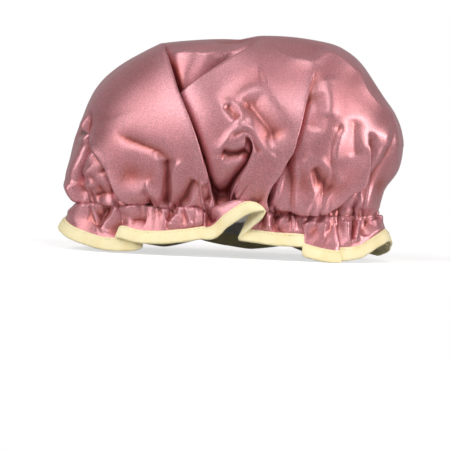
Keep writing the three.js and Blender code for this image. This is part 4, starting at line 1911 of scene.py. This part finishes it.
class StitchNodes(NodeBench):
    """A Geometry Nodes tree that sews stitches along a loop of edges."""

    INPUTS = {
        "Line": "Geometry",
        "Spacing": "Float",
        "Stitch Length": "Float",
        "Thread Radius": "Float",
        "Unevenness": "Float",
        "Seed": "Int",
        "Thread": "Material",
    }

    def __init__(self) -> None:
        """Build the tree."""
        super().__init__(bpy.data.node_groups.new("stitch_row", "GeometryNodeTree"))
        face = self.tree.interface
        for name, kind in self.INPUTS.items():
            face.new_socket(name, in_out="INPUT", socket_type=f"NodeSocket{kind}")
        face.new_socket("Stitches", in_out="OUTPUT", socket_type="NodeSocketGeometry")
        given = self.add("NodeGroupInput")
        result = self.add("NodeGroupOutput")
        curve = self.add("GeometryNodeMeshToCurve")
        spaced = self.add("GeometryNodeResampleCurve")
        spaced.mode = "LENGTH"
        tangent = self.add("GeometryNodeInputTangent")
        aligned = self.add("FunctionNodeAlignRotationToVector")
        aligned.axis = "X"
        ball = self.add("GeometryNodeMeshUVSphere", Segments=8, Rings=6, Radius=1.0)
        half = self.add("ShaderNodeMath", "MULTIPLY")
        half.inputs[1].default_value = 0.5
        size = self.add("ShaderNodeCombineXYZ")
        shaped = self.add("GeometryNodeTransform")
        placed = self.add("GeometryNodeInstanceOnPoints")
        chance = self.add("FunctionNodeRandomValue")
        least = self.add("ShaderNodeMath", "SUBTRACT")
        least.inputs[0].default_value = 1.0
        real = self.add("GeometryNodeRealizeInstances")
        smooth = self.add("GeometryNodeSetShadeSmooth")
        painted = self.add("GeometryNodeSetMaterial")
        self.join(
            (given, "Line", curve, "Mesh"),
            (curve, "Curve", spaced, "Curve"),
            (given, "Spacing", spaced, "Length"),
            (tangent, "Tangent", aligned, "Vector"),
            (given, "Stitch Length", half, 0),
            (half, "Value", size, "X"),
            (given, "Thread Radius", size, "Y"),
            (given, "Thread Radius", size, "Z"),
            (ball, "Mesh", shaped, "Geometry"),
            (size, "Vector", shaped, "Scale"),
            (spaced, "Curve", placed, "Points"),
            (shaped, "Geometry", placed, "Instance"),
            (aligned, "Rotation", placed, "Rotation"),
            (given, "Unevenness", least, 1),
            (least, "Value", chance, 2),
            (given, "Seed", chance, "Seed"),
            (chance, 1, placed, "Scale"),
            (placed, "Instances", real, "Geometry"),
            (real, "Geometry", smooth, "Geometry"),
            (smooth, "Geometry", painted, "Geometry"),
            (given, "Thread", painted, "Material"),
            (painted, "Geometry", result, "Stitches"),
        )

    def sew(
        self, name: str, loop: np.ndarray, thread: bpy.types.Material, row: StitchRow
    ) -> bpy.types.Object:
        """Sew a closed row of stitches.

        Args:
            name: Name of the piece.
            loop: Points of the row.
            thread: Material of the thread.
            row: How it is sewn.

        Returns:
            The row as a plain mesh.
        """
        mesh = bpy.data.meshes.new(name)
        count = len(loop)
        edges = [(index, (index + 1) % count) for index in range(count)]
        mesh.from_pydata((loop * METRES).tolist(), edges, [])
        piece = new_object(name, mesh)
        sewing = piece.modifiers.new("sewing", "NODES")
        sewing.node_group = self.tree
        values = {
            "Spacing": row.spacing * METRES,
            "Stitch Length": row.length * METRES,
            "Thread Radius": row.radius * METRES,
            "Unevenness": row.unevenness,
            "Seed": row.seed,
            "Thread": thread,
        }
        for socket in self.tree.interface.items_tree:
            if socket.in_out == "INPUT" and socket.name in values:
                sewing[socket.identifier] = values[socket.name]
        sewn = piece.evaluated_get(bpy.context.evaluated_depsgraph_get())
        result = bpy.data.meshes.new_from_object(sewn)
        piece.modifiers.clear()
        piece.data = result
        return piece


@dataclass
class Stitching:
    """The rows of stitches and the tack on the elastic's lap.

    Attributes:
        form: The cap's form.
        grid: The satin's grid.
        nodes: The tree that sews them.
        gather_row: Row along the gathers.
        binding_row: Row along the binding.
        tack_row: The tack's stitches.
        tack_inset: Distance of the tack inside the mouth's plan.
        tack_height: Height of the tack's middle.
        tack_step: Step of its zigzag, aside and up or down.
    """

    form: CapForm
    grid: ClothGrid
    nodes: StitchNodes = field(default_factory=StitchNodes)
    gather_row: StitchRow = StitchRow(spacing=2.6, length=2.0, radius=0.26, seed=3)
    binding_row: StitchRow = StitchRow(spacing=3.2, length=2.3, radius=0.24, seed=8)
    tack_row: StitchRow = StitchRow(spacing=1.3, length=1.2, radius=0.25, seed=4)
    tack_inset: float = 8.5
    tack_height: float = 30.8
    tack_step: float = 1.6

    def build(self) -> list[bpy.types.Object]:
        """Sew all the stitches.

        Returns:
            The pieces.
        """
        rose = ThreadFinish("thread_rose", (0.62, 0.3, 0.31), 0.5).make()
        cream = ThreadFinish("thread_cream", (0.88, 0.78, 0.46), 0.5).make()
        along_gathers = self.above(self.form.mouth_row + 1, 0.25)
        gather = self.nodes.sew("gather_stitches", along_gathers, rose, self.gather_row)
        settle(gather, "rose_thread", "gather_stitch")
        along_tape = self.above(self.form.binding_row + 2, 1.0)
        binding = self.nodes.sew("binding_stitches", along_tape, cream, self.binding_row)
        settle(binding, "cream_thread", "binding_stitch")
        tack = self.nodes.sew("lap_tack", self.tack_line(), cream, self.tack_row)
        settle(tack, "cream_thread", "elastic_lap_tack")
        return [gather, binding, tack]

    def above(self, row: int, height: float) -> np.ndarray:
        """Give the points of a row, lifted off the satin."""
        return self.grid.rows[row] + height * self.grid.normals()[row]

    def tack_line(self) -> np.ndarray:
        """Draw the zigzag on the lap at the centre of the back.

        Returns:
            Points of a closed loop there and back.
        """
        step = np.arange(7)
        there = np.empty((len(step), 3))
        there[:, 0] = self.tack_step * (step - 3)
        there[:, 1] = self.form.mouth.depth / 2 - self.tack_inset
        there[:, 2] = self.tack_height + self.tack_step * np.where(step % 2, 1, -1)
        again = there[::-1] + np.array([0.0, 0.0, 0.5])
        return np.vstack([there, again])


# Stage


@dataclass(frozen=True)
class Softbox:
    """A soft square lamp that faces the cap.

    Attributes:
        name: Name of the lamp.
        place: Its place in metres.
        side: Its side in metres.
        power: Its power in watts.
        color: Its colour.
    """

    name: str
    place: Triple
    side: float
    power: float
    color: Triple = (1.0, 0.98, 0.98)

    def build(self) -> None:
        """Hang the lamp."""
        data = bpy.data.lights.new(self.name, "AREA")
        data.size = self.side
        data.energy = self.power
        data.color = self.color
        lamp = new_object(self.name, data)
        lamp.location = self.place
        towards = Vector((0.0, 0.0, 0.08)) - Vector(self.place)
        lamp.rotation_euler = towards.to_track_quat("-Z", "Y").to_euler()


@dataclass
class Stage:
    """Floor, lights, world and camera.

    Attributes:
        aim: Point that the middle of the photograph looks at, in millimetres.
        distance: Distance of the camera from it.
        frame: Width that the photograph spans there.
        elevation: Camera's elevation in degrees.
        roll: Camera's roll in degrees.
        room: Level of the light from all round.
        behind: Level of the light that gloss shows from behind the cap.
        floor_half: Half of the floor's width.
        floor_level: Height of the floor.
        floor_glow: Light that the floor adds for the camera alone.
        floor_fade: Least and most distance in metres over which the floor fades out.
        lamps: The lamps.
    """

    aim: Triple = (-2.0, -40.0, 24.3)
    distance: float = 4000.0
    frame: float = 337.5
    elevation: float = 2.5
    roll: float = 2.5
    room: float = 0.07
    behind: float = 0.35
    floor_half: float = 3000.0
    floor_level: float = -0.2
    floor_glow: float = 0.62
    floor_fade: Pair = (0.16, 0.5)
    lamps: tuple[Softbox, ...] = (
        Softbox("left_softbox", (-1.35, -1.3, 1.25), 1.8, 37.0),
        Softbox("top_softbox", (0.5, -1.25, 1.5), 0.7, 11.0, (1.0, 0.99, 1.0)),
        Softbox("right_softbox", (1.6, -0.6, 0.5), 0.6, 15.0, (1.0, 0.95, 0.94)),
        Softbox("back_softbox", (0.0, 2.0, 0.08), 0.2, 5.0),
        Softbox("front_fill", (0.1, -2.1, 0.6), 1.2, 2.0, (1.0, 0.98, 0.97)),
    )

    def build(self) -> None:
        """Make the whole stage."""
        self.floor()
        self.world()
        for lamp in self.lamps:
            lamp.build()
        self.camera()
        bpy.context.scene.view_settings.view_transform = "Standard"

    def floor(self) -> None:
        """Make the pale floor, which shows white to the camera and keeps shadows."""
        half = self.floor_half
        corners = np.array([(-half, -half), (half, -half), (half, half), (-half, half)])
        points = np.column_stack([corners, np.full(4, self.floor_level)])
        on = Dressing("floor_white", Base_Color=(0.7, 0.7, 0.7, 1.0), Roughness=0.9)
        on.set(Emission_Color=(1.0, 1.0, 1.0, 1.0))
        rays = on.add("ShaderNodeLightPath")
        glow = on.add("ShaderNodeMath", "MULTIPLY")
        glow.inputs[1].default_value = self.floor_glow
        place = on.add("ShaderNodeTexCoord")
        away = on.add("ShaderNodeVectorMath", "LENGTH")
        near, far = self.floor_fade
        edge = on.add("ShaderNodeMapRange", From_Min=near, From_Max=far, To_Min=1.0, To_Max=0.0)
        edge.interpolation_type = "SMOOTHSTEP"
        on.join(
            (rays, "Is Camera Ray", glow, 0),
            (glow, "Value", on.shader, "Emission Strength"),
            (place, "Object", away, 0),
            (away, "Value", edge, "Value"),
            (edge, "Result", on.shader, "Alpha"),
        )
        mesh = new_mesh("floor", points, [[0, 1, 2, 3]])
        mesh.materials.append(on.material)
        plane = new_object("floor", mesh)

    def world(self) -> None:
        """Make a white background, which gloss shows from behind the cap, in a dimmer room."""
        world = bpy.data.worlds.new("studio")
        bpy.context.scene.world = world
        world.use_nodes = True
        on = NodeBench(world.node_tree)
        rays = on.add("ShaderNodeLightPath")
        place = on.add("ShaderNodeTexCoord")
        direction = on.add("ShaderNodeSeparateXYZ")
        behind = on.add(
            "ShaderNodeMapRange", From_Min=0.1, From_Max=0.9, To_Min=self.room, To_Max=self.behind
        )
        level = on.add("ShaderNodeMath", "MULTIPLY")
        on.join(
            (place, "Generated", direction, "Vector"),
            (direction, "Y", behind, "Value"),
            (rays, "Is Glossy Ray", level, 0),
            (behind, "Result", level, 1),
        )
        for name in ("Is Camera Ray", "Is Transmission Ray"):
            brighter = on.add("ShaderNodeMath", "MAXIMUM")
            on.join((level, "Value", brighter, 0), (rays, name, brighter, 1))
            level = brighter
        least = on.add("ShaderNodeMath", "MAXIMUM")
        least.inputs[1].default_value = self.room
        background = world.node_tree.nodes["Background"]
        background.inputs["Color"].default_value = (1.0, 1.0, 1.0, 1.0)
        on.join((level, "Value", least, 0), (least, "Value", background, "Strength"))

    def camera(self) -> None:
        """Set the camera at the photograph's angle."""
        data = bpy.data.cameras.new("camera")
        data.sensor_fit = "HORIZONTAL"
        data.sensor_width = 36.0
        data.lens = data.sensor_width * self.distance / self.frame
        camera = new_object("camera", data)
        tilt = math.radians(self.elevation)
        aim = Vector(self.aim) * METRES
        away = Vector((0.0, -math.cos(tilt), math.sin(tilt))) * self.distance * METRES
        facing = (-away).to_track_quat("-Z", "Y").to_matrix().to_4x4()
        roll = Matrix.Rotation(math.radians(self.roll), 4, "Z")
        camera.matrix_world = Matrix.Translation(aim + away) @ facing @ roll
        bpy.context.scene.camera = camera


def main() -> None:
    """Build the cap on its stage."""
    logging.basicConfig(level=logging.INFO, format="%(name)s: %(message)s")
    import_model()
    Stage().build()
    form = CapForm()
    grid = form.build()
    liner = Liner(form, grid)
    satin = SatinOuter(grid).build()
    film = liner.build()
    binding = HemBinding(form, grid, liner.gap).build()
    casing, _ = ElasticRun(form).build()
    stitches = Stitching(form, grid).build()
    LOG.info("satin %.4f m2, film %.4f m2", sheet_area(satin), sheet_area(film))


if __name__ == "__main__":
    main()
